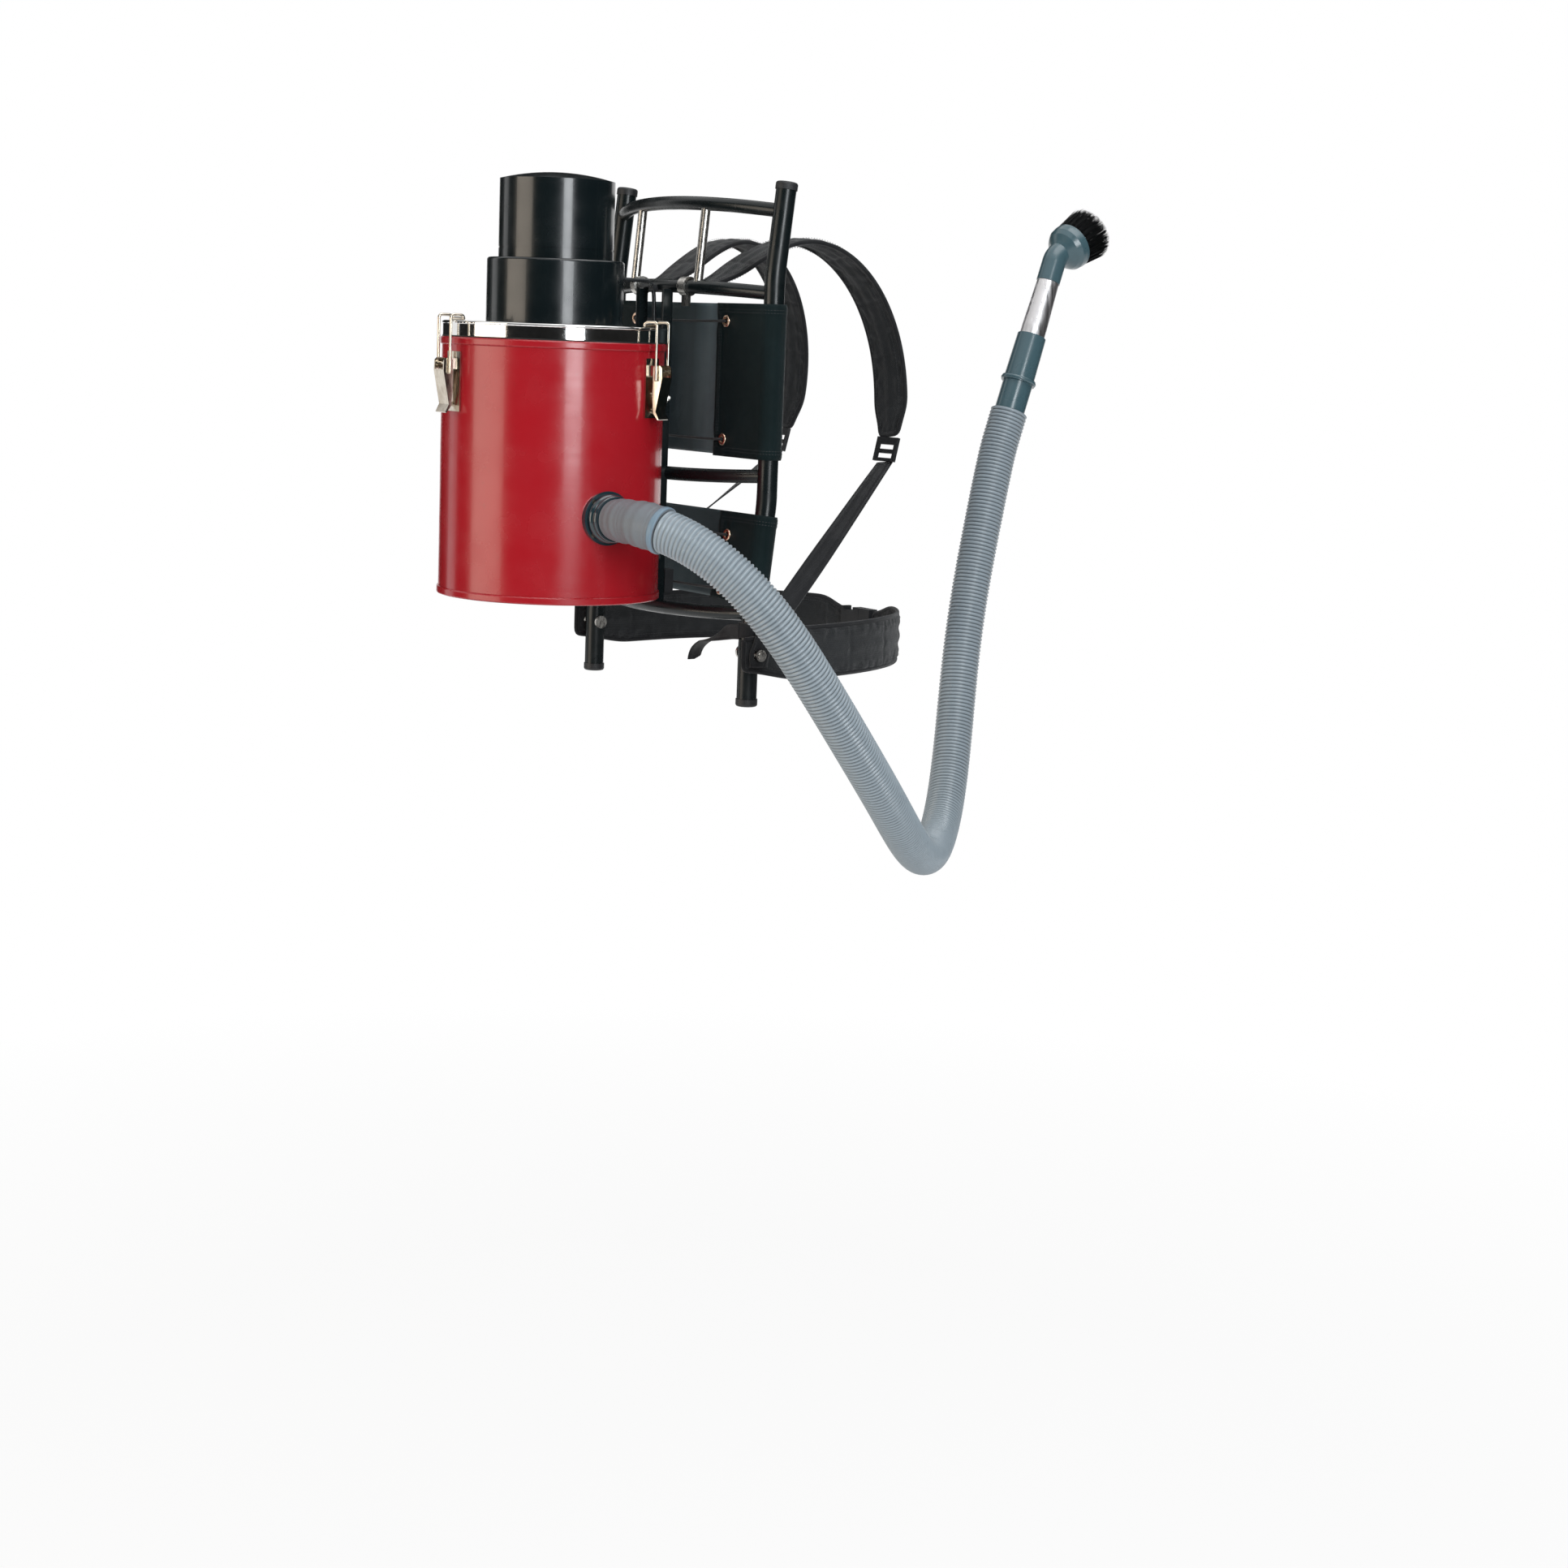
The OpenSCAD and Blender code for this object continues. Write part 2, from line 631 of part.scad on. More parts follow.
// flange saddled on the wall, with the tube that passes through it
module inlet_flange() {
  inside = 14;
  color("#22282c") difference() {
    at_can() {
      difference() {
        translate([can_r - 12, 0, inlet_h]) rotate([0, 90, 0]) cylinder(d = flange_d, h = flange_t + 12, $fn = 96);
        cylinder(r = can_r + seat, h = 3 * inlet_h, $fn = 180);
      }
      translate([can_r - inside, 0, inlet_h]) rotate([0, 90, 0])
        cylinder(d = inlet_tube_d, h = inside + flange_t + collar_l, $fn = 96);
    }
    at_can() translate([can_r, 0, inlet_h]) rotate([0, 90, 0])
      cylinder(d = inlet_bore_d, h = 100, center = true, $fn = 96);
    flange_rivet_places() {
      cylinder(d = rivet_d + 2 * snug, h = 30, center = true, $fn = 32);
      translate([0, 0, flange_t - 1.5]) cylinder(d = 1.8 * rivet_d + 4 * snug, h = 5, $fn = 32);
    }
  }
}

// domed ring with a waist, turning on the inlet tube
module swivel_collar() {
  start = can_r + flange_t + seat;
  length = collar_l - 2 * seat;
  bore = inlet_tube_d / 2 + running;
  color("#2b3338") at_can() translate([start, 0, inlet_h]) rotate([0, 90, 0])
    rotate_extrude($fn = 96) difference() {
      union() {
        translate([bore, 0]) square([collar_d / 2 - bore - 2.5, length]);
        translate([collar_d / 2 - 4.2, 4.2]) circle(r = 4.2, $fn = 48);
        translate([collar_d / 2 - 5, length - 3.8]) circle(r = 3.8, $fn = 48);
      }
      square([bore, 2 * length]);
    }
}

/* ---- lid ---- */

module lid() {
  locating_r = can_r - 6;
  color("#d4d6d8") at_can() rotate_extrude($fn = 180) union() {
    translate([can_r - lid_sheet, rim_h]) square([lid_sheet, lid_h - lip_r]);
    translate([lip_centre_r, lip_h]) circle(r = lip_r, $fn = 48);
    translate([pan_hole_r, pan_h - lid_sheet]) square([can_r - lid_sheet / 2 - pan_hole_r, lid_sheet]);
    translate([locating_r, rim_h - 8]) square([lid_sheet, pan_h - rim_h + 8 - lid_sheet / 2]);
  }
}

module lid_gasket() {
  color("#1a1a1a") at_can() translate([0, 0, rim_h - gasket_t]) washer(can_r - 4.6, can_r - 0.2, gasket_t);
}

/* ---- motor head ---- */

module lower_motor_housing() {
  corner = 3;
  slot_in = upper_r + 1.5;
  slot_out = lower_r - corner - 0.5;
  color("#0c1114") at_can() translate([0, 0, pan_h]) difference() {
    rotate_extrude($fn = 120) difference() {
      union() {
        square([lower_r, lower_h - corner]);
        square([lower_r - corner, lower_h]);
        translate([lower_r - corner, lower_h - corner]) circle(r = corner, $fn = 48);
      }
      translate([0, housing_wall]) square([lower_r - housing_wall, lower_h - 2 * housing_wall]);
      square([lower_r - 7, lower_h / 2]);
      translate([0, lower_h / 2]) square([upper_r - 6, lower_h]);
    }
    for (k = [0 : vent_count - 1]) rotate([0, 0, 360 * k / vent_count])
      translate([slot_in, -1.5, lower_h - 2 * housing_wall]) cube([slot_out - slot_in, 3, 3 * housing_wall]);
    translate([-lower_r, 0, switch_h - pan_h]) cube([20, switch_cut_w, switch_cut_h], center = true);
    translate([0, lower_r, gland_h - pan_h]) rotate([90, 0, 0])
      cylinder(d = gland_d + 2 * snug, h = 20, center = true, $fn = 48);
  }
}

module upper_motor_housing() {
  groove_h = 11;
  color("#0c1114") at_can() translate([0, 0, step_h]) rotate_extrude($fn = 120) difference() {
    square([upper_r, upper_h]);
    translate([0, housing_wall]) square([upper_r - housing_wall, upper_h]);
    square([upper_r - 6, upper_h]);
    translate([upper_r - 0.8, groove_h]) square([2, 1.4]);
  }
}

module dome_cap() {
  skirt = 3;
  sphere_r = (pow(upper_r, 2) + pow(dome_h, 2)) / (2 * dome_h);
  color("#0a0e10") at_can() translate([0, 0, top_h]) rotate_extrude($fn = 120) {
    intersection() {
      translate([0, skirt + dome_h - sphere_r]) circle(r = sphere_r, $fn = 360);
      translate([0, skirt]) square([upper_r, dome_h]);
    }
    square([upper_r, skirt]);
    translate([upper_r - housing_wall - 3, -5]) square([3 - snug, 5]);
  }
}

module fan_casing() {
  eye_r = 24;
  color("#8f9498") at_can() translate([0, 0, pan_h + 3]) difference() {
    cylinder(d = fan_d, h = fan_h, $fn = 96);
    translate([0, 0, 2]) cylinder(d = fan_d - 4, h = fan_h - 4, $fn = 96);
    translate([0, 0, -1]) cylinder(r = eye_r, h = 4, $fn = 64);
    translate([0, 0, fan_h - 3]) cylinder(r = shaft_d / 2 + 8, h = 4, $fn = 64);
    for (k = [0 : 11]) rotate([0, 0, 30 * k]) translate([fan_d / 2, 0, fan_h - 12]) cube([12, 18, 10], center = true);
  }
}

module motor_gasket() {
  color("#1a1a1a") at_can() translate([0, 0, pan_h]) washer(fan_d / 2 - 18, fan_d / 2 - 1, 3);
}

module motor_casing() {
  bearing_r = 11;
  color("#70757a") at_can() translate([0, 0, motor_base_h]) difference() {
    cylinder(d = motor_d, h = motor_h, $fn = 96);
    translate([0, 0, 7]) cylinder(d = motor_d - 5, h = motor_h - 14, $fn = 96);
    translate([0, 0, -1]) cylinder(r = bearing_r + snug / 2, h = motor_h + 2, $fn = 64);
    for (k = [0 : 9]) rotate([0, 0, 36 * k + 18])
      translate([motor_d / 2, 0, motor_h / 2]) cube([12, 9, motor_h - 30], center = true);
  }
}

module motor_bearings() {
  color("#c0c2c4") at_can() for (h = [0, motor_h - 7]) translate([0, 0, motor_base_h + h])
    washer(shaft_d / 2 + 0.05, 11, 7);
}

// shaft, armature and two fan wheels, which turn together
module motor_rotor() {
  wheel_r = fan_d / 2 - 6;
  wheel_h = 13;
  color("#9a9da0") at_can() {
    translate([0, 0, pan_h + 7]) cylinder(d = shaft_d, h = fan_h + motor_h, $fn = 48);
    translate([0, 0, motor_base_h + 14]) cylinder(r = 28, h = motor_h - 28, $fn = 64);
    for (h = [pan_h + 7, pan_h + 24]) translate([0, 0, h]) {
      washer(shaft_d / 2 - 0.5, wheel_r, 1.2);
      translate([0, 0, wheel_h - 1.2]) washer(22, wheel_r, 1.2);
      for (k = [0 : 7]) rotate([0, 0, 45 * k]) translate([10, 14, 1]) rotate([0, 0, 24])
        cube([wheel_r - 22, 1.2, wheel_h - 1.6]);
    }
  }
}
motor_base_h = pan_h + 3 + fan_h;

/* ---- filter ---- */

module filter_cartridge() {
  cap_t = 6;
  outer = filter_d / 2;
  inner = outer - pleat_depth;
  color("#d9d6c8") at_can() translate([0, 0, pan_h - lid_sheet - filter_h]) {
    translate([0, 0, cap_t]) linear_extrude(filter_h - 2 * cap_t) difference() {
      polygon([for (k = [0 : 2 * pleat_count - 1]) let (a = 180 * k / pleat_count, r = k % 2 ? inner + 2.5 : outer)
        [r * cos(a), r * sin(a)]]);
      polygon([for (k = [0 : 2 * pleat_count - 1]) let (a = 180 * k / pleat_count, r = k % 2 ? inner : outer - 2.5)
        [r * cos(a), r * sin(a)]]);
    }
    translate([0, 0, filter_h - cap_t]) washer(inner - 3, outer + 2, cap_t);
    washer(filter_rod_d / 2 + 0.4, outer + 2, cap_t);
  }
}

module filter_rod() {
  bridge_t = 3;
  tail = 16;
  color("#b9b6ae") at_can() {
    translate([0, 0, pan_h - lid_sheet - filter_h - tail])
      cylinder(d = filter_rod_d, h = filter_h + tail - bridge_t / 2, $fn = 48);
    translate([0, 0, pan_h - lid_sheet - bridge_t / 2]) cube([2 * pan_hole_r + 24, 14, bridge_t], center = true);
  }
}

module filter_nut() {
  color("#c9a24a") at_can() translate([0, 0, pan_h - lid_sheet - filter_h - seat - 9]) difference() {
    union() {
      cylinder(d = 18, h = 9, $fn = 48);
      for (s = [-1, 1]) translate([s * 14, 0, 4.5]) cube([14, 3, 9], center = true);
    }
    translate([0, 0, -1]) cylinder(d = filter_rod_d + 2 * snug, h = 12, $fn = 48);
  }
}

/* ---- switch, lead and power inlet ---- */

switch_cut_w = 20;
switch_cut_h = 30;
gland_h = second_bar_z + 11 - can_z;   // the lead leaves level with the second crossbar
gland_d = 12;

// bezel and box of the rocker switch, on the wearer's left
module switch_body() {
  bezel_t = 3;
  color("#111315") at_can() translate([-lower_r, 0, switch_h]) difference() {
    union() {
      translate([-2.4, 0, 0]) cube([bezel_t, switch_cut_w + 6, switch_cut_h + 6], center = true);
      translate([3.4, 0, 0]) cube([11, switch_cut_w - 0.4, switch_cut_h - 0.4], center = true);
    }
    translate([-1.4, 0, 0]) cube([15.2, 15, 25], center = true);
    translate([0, 0, 0]) rotate([90, 0, 0]) cylinder(d = 3 + 2 * running, h = 19, center = true, $fn = 32);
  }
}

module switch_rocker() {
  w = 14.4;
  color("#1d2022") at_can() translate([-lower_r, 0, switch_h]) rotate([0, -rocker_throw / 2, 0]) {
    rotate([90, 0, 0]) linear_extrude(w, center = true)
      polygon([[4, -8], [4, 8], [-2, 11], [-6.5, 10.6], [-4.4, 0], [-6.5, -10.6], [-2, -11]]);
    rotate([90, 0, 0]) cylinder(d = 3, h = 18.4, center = true, $fn = 32);
  }
}

module lead_gland() {
  color("#101214") translate([0, can_y + lower_r, can_z + gland_h]) rotate([-90, 0, 0]) difference() {
    union() {
      translate([0, 0, -8]) cylinder(d = gland_d, h = 9, $fn = 48);
      translate([0, 0, 0.6]) cylinder(d1 = 17, d2 = 9, h = 12, $fn = 48);
    }
    translate([0, 0, -10]) cylinder(d = lead_d + 2 * snug, h = 30, $fn = 48);
  }
}

module lead() {
  steps = 30;
  turns = len(lead_route) - 3;
  us = [for (i = [0 : steps]) turns * i / steps];
  color("#0b0c0d") strip([for (f = free_frames(lead_route, us, [1, 0, 0])) ring(f, round_outline(lead_d / 2, 8))]);
}

// clips that hold the lead behind the second and middle bars
module lead_clips() {
  color("#15171a") for (p = [[3.7, second_bar_z, second_bar_tip], [10, middle_bar_z, middle_bar_tip]]) {
    c = spline(lead_route, p[0]);
    d = heading(lead_route, p[0]);
    difference() {
      translate(c + [0, 1.2, 0]) cube([lead_d + 5, lead_d + 3, 7], center = true);
      round_bar(c - 12 * d, c + 12 * d, lead_d + 2 * seat);
      translate(bar_point(p[1], p[2], c[0])) rotate([0, 90, asin(c[0] / bar_arc_r)])
        cylinder(r = bar_r + 0.15, h = 40, center = true, $fn = 64);
    }
  }
}

// inlet box on the front of the rails: the supply cord plugs in from below
module power_inlet() {
  box = [rail_gap + 8, 12, 28];
  low = bottom_bar_z + 12;
  rail_front = upright_y - bar_bulge - 2;
  color("#111315") translate([0, rail_front + seat, low]) difference() {
    translate([-box[0] / 2, 0, 0]) cube(box);
    translate([-12, 2.5, -1]) cube([24, 7, 18]);
  }
  color("#c9a24a") translate([0, rail_front + seat + box[1] / 2, low + 3]) for (x = [-6, 0, 6])
    translate([x, 0, 0]) cylinder(d = 2, h = 15, $fn = 24);
}

/* ---- back bands ---- */

// a flat loop round both uprights, open behind between the flaps
module band_section(gap) {
  r_in = tube_r + seat;
  r_out = r_in + band_t;
  difference() {
    union() {
      square([frame_w, 2 * r_out], center = true);
      for (x = [-upright_x, upright_x]) translate([x, 0]) circle(r = r_out, $fn = 64);
    }
    square([frame_w, 2 * r_in], center = true);
    for (x = [-upright_x, upright_x]) translate([x, 0]) circle(r = r_in, $fn = 64);
    translate([-gap / 2, -2 * r_out]) square([gap, 2 * r_out]);
  }
}

module on_upper_band() {
  translate([0, upright_y, upper_band_top]) children();
}

module on_lower_band() {
  translate([0, upright_y_at(lower_band_top), lower_band_top]) rotate([-tube_lean, 0, 0]) children();
}

eyelet_x = [flap_gap / 2 + 21, lower_flap_gap / 2 + 21];
eyelet_drops = [[21, upper_band_h - 20], [28, lower_band_h - 12]];

// places of the eyelets of the upper band (0) or the lower band (1)
module eyelet_holes(band) {
  for (s = [-1, 1]) for (h = eyelet_drops[band])
    translate([s * eyelet_x[band], -tube_r - seat - band_t / 2, -h]) rotate([90, 0, 0]) children();
}

module upper_band() {
  color("#15191b") on_upper_band() difference() {
    translate([0, 0, -upper_band_h]) linear_extrude(upper_band_h) band_section(flap_gap);
    eyelet_holes(0) cylinder(d = eyelet_d - 5, h = 3 * band_t, center = true, $fn = 48);
  }
}

module lower_band() {
  color("#15191b") on_lower_band() difference() {
    translate([0, 0, -lower_band_h]) linear_extrude(lower_band_h) band_section(lower_flap_gap);
    eyelet_holes(1) cylinder(d = eyelet_d - 5, h = 3 * band_t, center = true, $fn = 48);
  }
}

// rolled brass eyelet: a thin barrel with a rounded collar on both faces
module eyelet() {
  barrel_r = eyelet_d / 2 - 2.5 - snug;
  rotate_extrude($fn = 48) {
    translate([barrel_r - 1, -band_t / 2 - 0.5]) square([1, band_t + 1]);
    for (s = [-1, 1]) translate([barrel_r + 0.4, s * (band_t / 2 + 0.1)]) intersection() {
      scale([1, 1]) circle(r = 1.9, $fn = 32);
      translate([-1.9, s > 0 ? 0 : -1.9]) square([3.8, 1.9]);
    }
  }
}

module band_eyelets() {
  color("#c98f5a") {
    on_upper_band() eyelet_holes(0) eyelet();
    on_lower_band() eyelet_holes(1) eyelet();
  }
}

// one lace for each row, drawn straight across the gap and turned in through its eyelets
module lace(half) {
  back = -tube_r - seat - band_t - 2.2 - lace_d / 2;
  translate([-half, back, 0]) rotate([0, 90, 0]) cylinder(d = lace_d, h = 2 * half, $fn = 24);
  for (x = [-half, half]) translate([x, back, 0]) {
    sphere(d = lace_d + 0.1, $fn = 24);
    rotate([-90, 0, 0]) cylinder(d = lace_d, h = band_t + lace_d + 3, $fn = 24);
    translate([0, band_t + lace_d + 3, 0]) sphere(d = 2.2 * lace_d, $fn = 24);
  }
}

module lacing_cords() {
  color("#0d0e0f") {
    on_upper_band() for (h = eyelet_drops[0]) translate([0, 0, -h]) lace(eyelet_x[0]);
    on_lower_band() for (h = eyelet_drops[1]) translate([0, 0, -h]) lace(eyelet_x[1]);
  }
}

/* ---- harness ---- */

module both_sides() {
  children();
  mirror([1, 0, 0]) children();
}

function span_us(route, steps) = [for (i = [0 : steps]) (len(route) - 3) * i / steps];

module shoulder_pads() {
  us = span_us(pad_route, 16);
  n = len(us) - 1;
  frames = held_frames(pad_route, us, [1, 0, 0]);
  color("#17191b") both_sides() strip([for (i = [0 : n])
    let (end = min(i, n - i), w = end == 0 ? 0.62 : end == 1 ? 0.86 : 1, t = end == 0 ? 0.4 : end == 1 ? 0.8 : 1)
    ring(frames[i], padded_outline(pad_w * w, pad_t * t))]);
}

pad_tip = spline(pad_route, len(pad_route) - 3);

module strap_webbing() {
  start = pad_tip + [2, -6, -34];
  finish = [upright_x + tube_r + belt_t + 3.2, foot_y + 6, pin_z + 22];
  pin_end = [finish[0], foot_y, pin_z];
  color("#101112") both_sides() difference() {
    strip([for (q = [[start, [1, 0.12, 0]], [start * 0.66 + finish * 0.34, [0.8, 0.6, 0]],
        [start * 0.33 + finish * 0.67, [0.3, 0.95, 0]], [finish, [0, 1, 0]], [pin_end + [0, 0, -14], [0, 1, 0]]])
      let (n = unit(q[1]), d = unit(finish - start), up = unit(cross(d, n)))
      ring([q[0], n, up], flat_outline(web_w, web_t))]);
    translate(pin_end) rotate([0, 90, 0]) cylinder(d = pin_d + 2 * seat, h = 20, center = true, $fn = 32);
  }
}

// ladder buckle at the lower end of each shoulder pad
module strap_buckles() {
  frame_t = 4;
  color("#0c0d0e") both_sides() translate(pad_tip + [1, -4, -18]) rotate([-14, 0, 6]) difference() {
    cube([web_w + 12, frame_t, 30], center = true);
    for (z = [-8, 3]) translate([0, 0, z]) cube([web_w + 2, 2 * frame_t, 6], center = true);
  }
}

// clamps that hold the shoulder pads on the second bar
module strap_anchors() {
  w = 12;
  x = 52;
  c = bar_point(second_bar_z, second_bar_tip, x);
  color("#c6c2b8") both_sides() translate(c) rotate([0, 0, asin(x / bar_arc_r)]) difference() {
    union() {
      rotate([0, 90, 0]) cylinder(r = bar_r + 3.3, h = w, center = true, $fn = 64);
      translate([0, -1, -bar_r - 8]) cube([w, 4, 14], center = true);
      translate([0, bar_r + 7, 0]) cube([w, 16, 5], center = true);
    }
    rotate([0, 90, 0]) cylinder(r = bar_r + 0.3, h = 2 * w, center = true, $fn = 64);
  }
}

module clevis_pins() {
  head_t = 3;
  inner = upright_x - tube_r - head_t;
  outer = upright_x + tube_r + belt_t + 6;
  color("#c9b48c") both_sides() translate([0, foot_y, pin_z]) rotate([0, 90, 0]) {
    translate([0, 0, inner - 0.2]) cylinder(d = 16, h = head_t, $fn = 48);
    translate([0, 0, inner]) cylinder(d = pin_d, h = outer + 3 - inner, $fn = 48);
    translate([0, 0, outer]) cylinder(d = 14, h = 2, $fn = 48);
  }
}

belt_front = spline(belt_route, len(belt_route) - 3)[1];

module waist_belt() {
  us = span_us(belt_route, 16);
  n = len(us) - 1;
  frames = held_frames(belt_route, us, [0, 0, 1]);
  color("#17191b") both_sides() difference() {
    strip([for (i = [0 : n]) let (w = i < 2 ? 0.62 : i == 2 ? 0.85 : i > n - 2 ? 0.6 : i == n - 2 ? 0.85 : 1)
      ring(frames[i], padded_outline(belt_w * w, belt_t * (i == n ? 0.5 : 1)))]);
    translate([upright_x, foot_y, pin_z]) rotate([0, 90, 0]) cylinder(d = pin_d + 2 * seat, h = 40, $fn = 32);
  }
}

// side-release buckle that joins the belt halves in front
module belt_buckle() {
  w = 62;
  t = 13;
  h = 44;
  y = belt_front;
  color("#0c0d0e") translate([0, y, belt_h]) {
    difference() {
      translate([-w / 2 + 1, -t / 2, -h / 2]) cube([w * 0.6, t, h]);
      translate([-w / 2 + 13, -t / 2 + 3, -h / 2 + 5]) cube([w, t - 6, h - 10]);
      for (s = [-1, 1]) translate([-w / 2 + 16, 0, s * h / 2]) cube([20, 2 * t, 10], center = true);
    }
    translate([w * 0.1 + 1.4, -t / 2, -h / 2]) cube([w * 0.4 - 1.6, t, h]);
    for (z = [-h / 2 + 6, -2.5, h / 2 - 11]) translate([-w / 2 + 15, -t / 2 + 4, z]) cube([w * 0.7, t - 8, 5]);
  }
}

// loose end of webbing that leaves a loop round the right upright
module strap_tail() {
  w = 18;
  us = span_us(tail_route, 12);
  n = len(us) - 1;
  color("#101112") {
    strip([for (i = [0 : n]) let (turn = 90 * min(1, max(0, (i - 2) / 6)),
        f = held_frames(tail_route, [us[i]], [0, sin(turn), cos(turn)])[0])
      ring(f, flat_outline(i == n ? 7 : w, web_t))]);
    translate([upright_x, upright_y_at(tail_h), tail_h]) rotate([-tube_lean, 0, 0])
      translate([0, 0, -w / 2]) washer(tube_r + 2 * seat, tube_r + 2 * seat + web_t, w);
  }
}

/* ---- hose ---- */

// soft cuff with three swells and a raised end ring
module hose_cuff() {
  sides = 12;
  start = seat;
  steps = 16;
  ss = [for (i = [0 : steps]) start + (cuff_l - start) * i / steps];
  us = [for (s = ss) hose_u(s)];
  frames = free_frames(hose_route, us, [0, 1, 0]);
  function cuff_r(f) = 23.2 + 3.2 * f + 1.2 * abs(sin(540 * f)) + (f > 0.85 ? 1 : 0);
  color("#828a8f") sleeve(
    [for (i = [0 : steps]) ring(frames[i], round_outline(cuff_r(i / steps), sides))],
    [for (i = [0 : 4 : steps]) ring(frames[i], round_outline(inlet_bore_d / 2, sides))]);
}

module hose() {
  sides = 8;
  start = cuff_l + seat;
  half_pitch = (hose_run - start) / (2 * rib_count);
  bore_every = 6;
  ss = [for (i = [0 : 2 * rib_count]) start + half_pitch * i];
  us = [for (s = ss) hose_u(s)];
  frames = free_frames(hose_route, us, [0, 1, 0]);
  color("#8d979d") sleeve(
    [for (i = [0 : 2 * rib_count]) ring(frames[i], round_outline((i % 2 ? hose_d : hose_root_d) / 2, sides))],
    [for (i = [0 : bore_every : 2 * rib_count]) ring(frames[i], round_outline(hose_bore_d / 2 / cos(180 / sides), sides))]);
}

/* ---- wand and brush ---- */

// wand frame: origin at the hose's end, +Z along the wand
module at_wand() {
  translate(hose_end) rotate([0, 0, wand_turn]) rotate([-wand_lean, 0, 0]) children();
}

module wand_cuff() {
  ring_t = 6;
  sleeve_start = grip_l + ring_t;
  bore_start = sleeve_start + 8;
  color("#46626b") at_wand() rotate_extrude($fn = 96) difference() {
    union() {
      translate([0, -spigot_l]) square([spigot_d / 2, spigot_l + grip_l]);
      translate([0, seat]) square([spigot_d / 2 + 1.2, grip_l]);
      translate([0, grip_l]) square([step_d / 2 - 1, ring_t]);
      translate([step_d / 2 - 3, grip_l + 3]) circle(r = 3, $fn = 32);
      translate([0, sleeve_start]) polygon([[0, 0], [sleeve_d / 2, 0], [sleeve_d / 2 - 1, sleeve_l], [0, sleeve_l]]);
    }
    translate([0, -spigot_l - 1]) square([spigot_d / 2 - 2, bore_start + spigot_l + 1]);
    translate([0, bore_start]) square([wand_d / 2 + running, sleeve_l + 10]);
  }
}

wand_base = grip_l + 6 + 8;
wand_top = grip_l + 6 + sleeve_l + wand_l;
neck_socket = 24;

module wand_tube() {
  taper_l = wand_l - 12;
  color("#c8cbcd") at_wand() rotate_extrude($fn = 96) difference() {
    polygon([[0, wand_base + seat], [wand_d / 2, wand_base + seat], [wand_d / 2, wand_top - taper_l],
      [wand_end_d / 2, wand_top], [wand_end_d / 2 - 1.4, wand_top], [wand_end_d / 2 - 1.4, wand_top + neck_socket],
      [0, wand_top + neck_socket]]);
    polygon([[0, 0], [wand_d / 2 - wand_wall, 0], [wand_d / 2 - wand_wall, wand_top - taper_l],
      [wand_end_d / 2 - 1.4 - wand_wall, wand_top - 1], [wand_end_d / 2 - 1.4 - wand_wall, wand_top + 2 * neck_socket],
      [0, wand_top + 2 * neck_socket]]);
  }
}

// frame at the mouth of the neck's elbow, +Z along the bell
module at_bell() {
  at_wand() translate([0, 0, wand_top + neck_socket + 4])
    translate([0, elbow_r * (1 - cos(elbow_angle)), elbow_r * sin(elbow_angle)])
      rotate([-elbow_angle, 0, 0]) children();
}

module elbow_bend(r_in, r_out) {
  at_wand() translate([0, elbow_r, wand_top + neck_socket + 4]) rotate([90, 0, -90])
    rotate_extrude(angle = elbow_angle, $fn = 96) translate([elbow_r, 0]) pipe_section(r_in, r_out);
}

module brush_head() {
  neck_r = neck_d / 2;
  socket_r = wand_end_d / 2 - 1.4 + running;
  air_r = socket_r - 2;
  bell_r = bell_d / 2;
  neck_end = wand_top + neck_socket + 4;
  color("#46626b") difference() {
    union() {
      at_wand() translate([0, 0, wand_top + seat]) cylinder(r = neck_r, h = neck_end + joint_lap - wand_top - seat, $fn = 72);
      elbow_bend(0, neck_r + 0.06);
      at_bell() rotate_extrude($fn = 72)
        polygon([[0, -joint_lap], [neck_r, -joint_lap], [neck_r, 0], [neck_r + 3, 3], [bell_r - 5, 9],
          [bell_r - 1, 15], [bell_r, bell_h - 4], [bell_r, bell_h], [0, bell_h]]);
    }
    at_wand() cylinder(r = socket_r, h = wand_top + neck_socket + 0.5, $fn = 72);
    at_wand() cylinder(r = air_r, h = neck_end + joint_lap, $fn = 72);
    elbow_bend(0, air_r + 0.06);
    at_bell() translate([0, 0, -joint_lap]) cylinder(r = air_r, h = bell_h + 5, $fn = 72);
    at_bell() tuft_places() cylinder(d = tuft_d + 2 * snug, h = 10, $fn = 18);
  }
}

tuft_rows = [[24, 27], [17, 21]];

module tuft_places() {
  for (row = tuft_rows) for (k = [0 : row[0] - 1]) rotate([0, 0, 360 * (k + (row[0] == 24 ? 0 : 0.5)) / row[0]])
    translate([row[1], 0, bell_h - 7]) rotate([0, 5, 0]) children();
}

module brush_bristles() {
  color("#08090a") at_bell() tuft_places() translate([0, 0, 0.4]) cylinder(d = tuft_d, h = bristle_l + 6.6, $fn = 24);
}

/* ---- latches ---- */

latch_plate_t = 2;
plate_clear = 9;   // between the plate and the rim bead

module latch_plate(angle) {
  half = asin(15 / can_r);
  low = lever_pivot_h - 54;
  high = can_h - bead_h - plate_clear;
  at_can() translate([0, 0, low]) rotate([0, 0, angle - half]) rotate_extrude(angle = 2 * half, $fn = 128)
    translate([can_r + seat, 0]) square([latch_plate_t, high - low]);
}

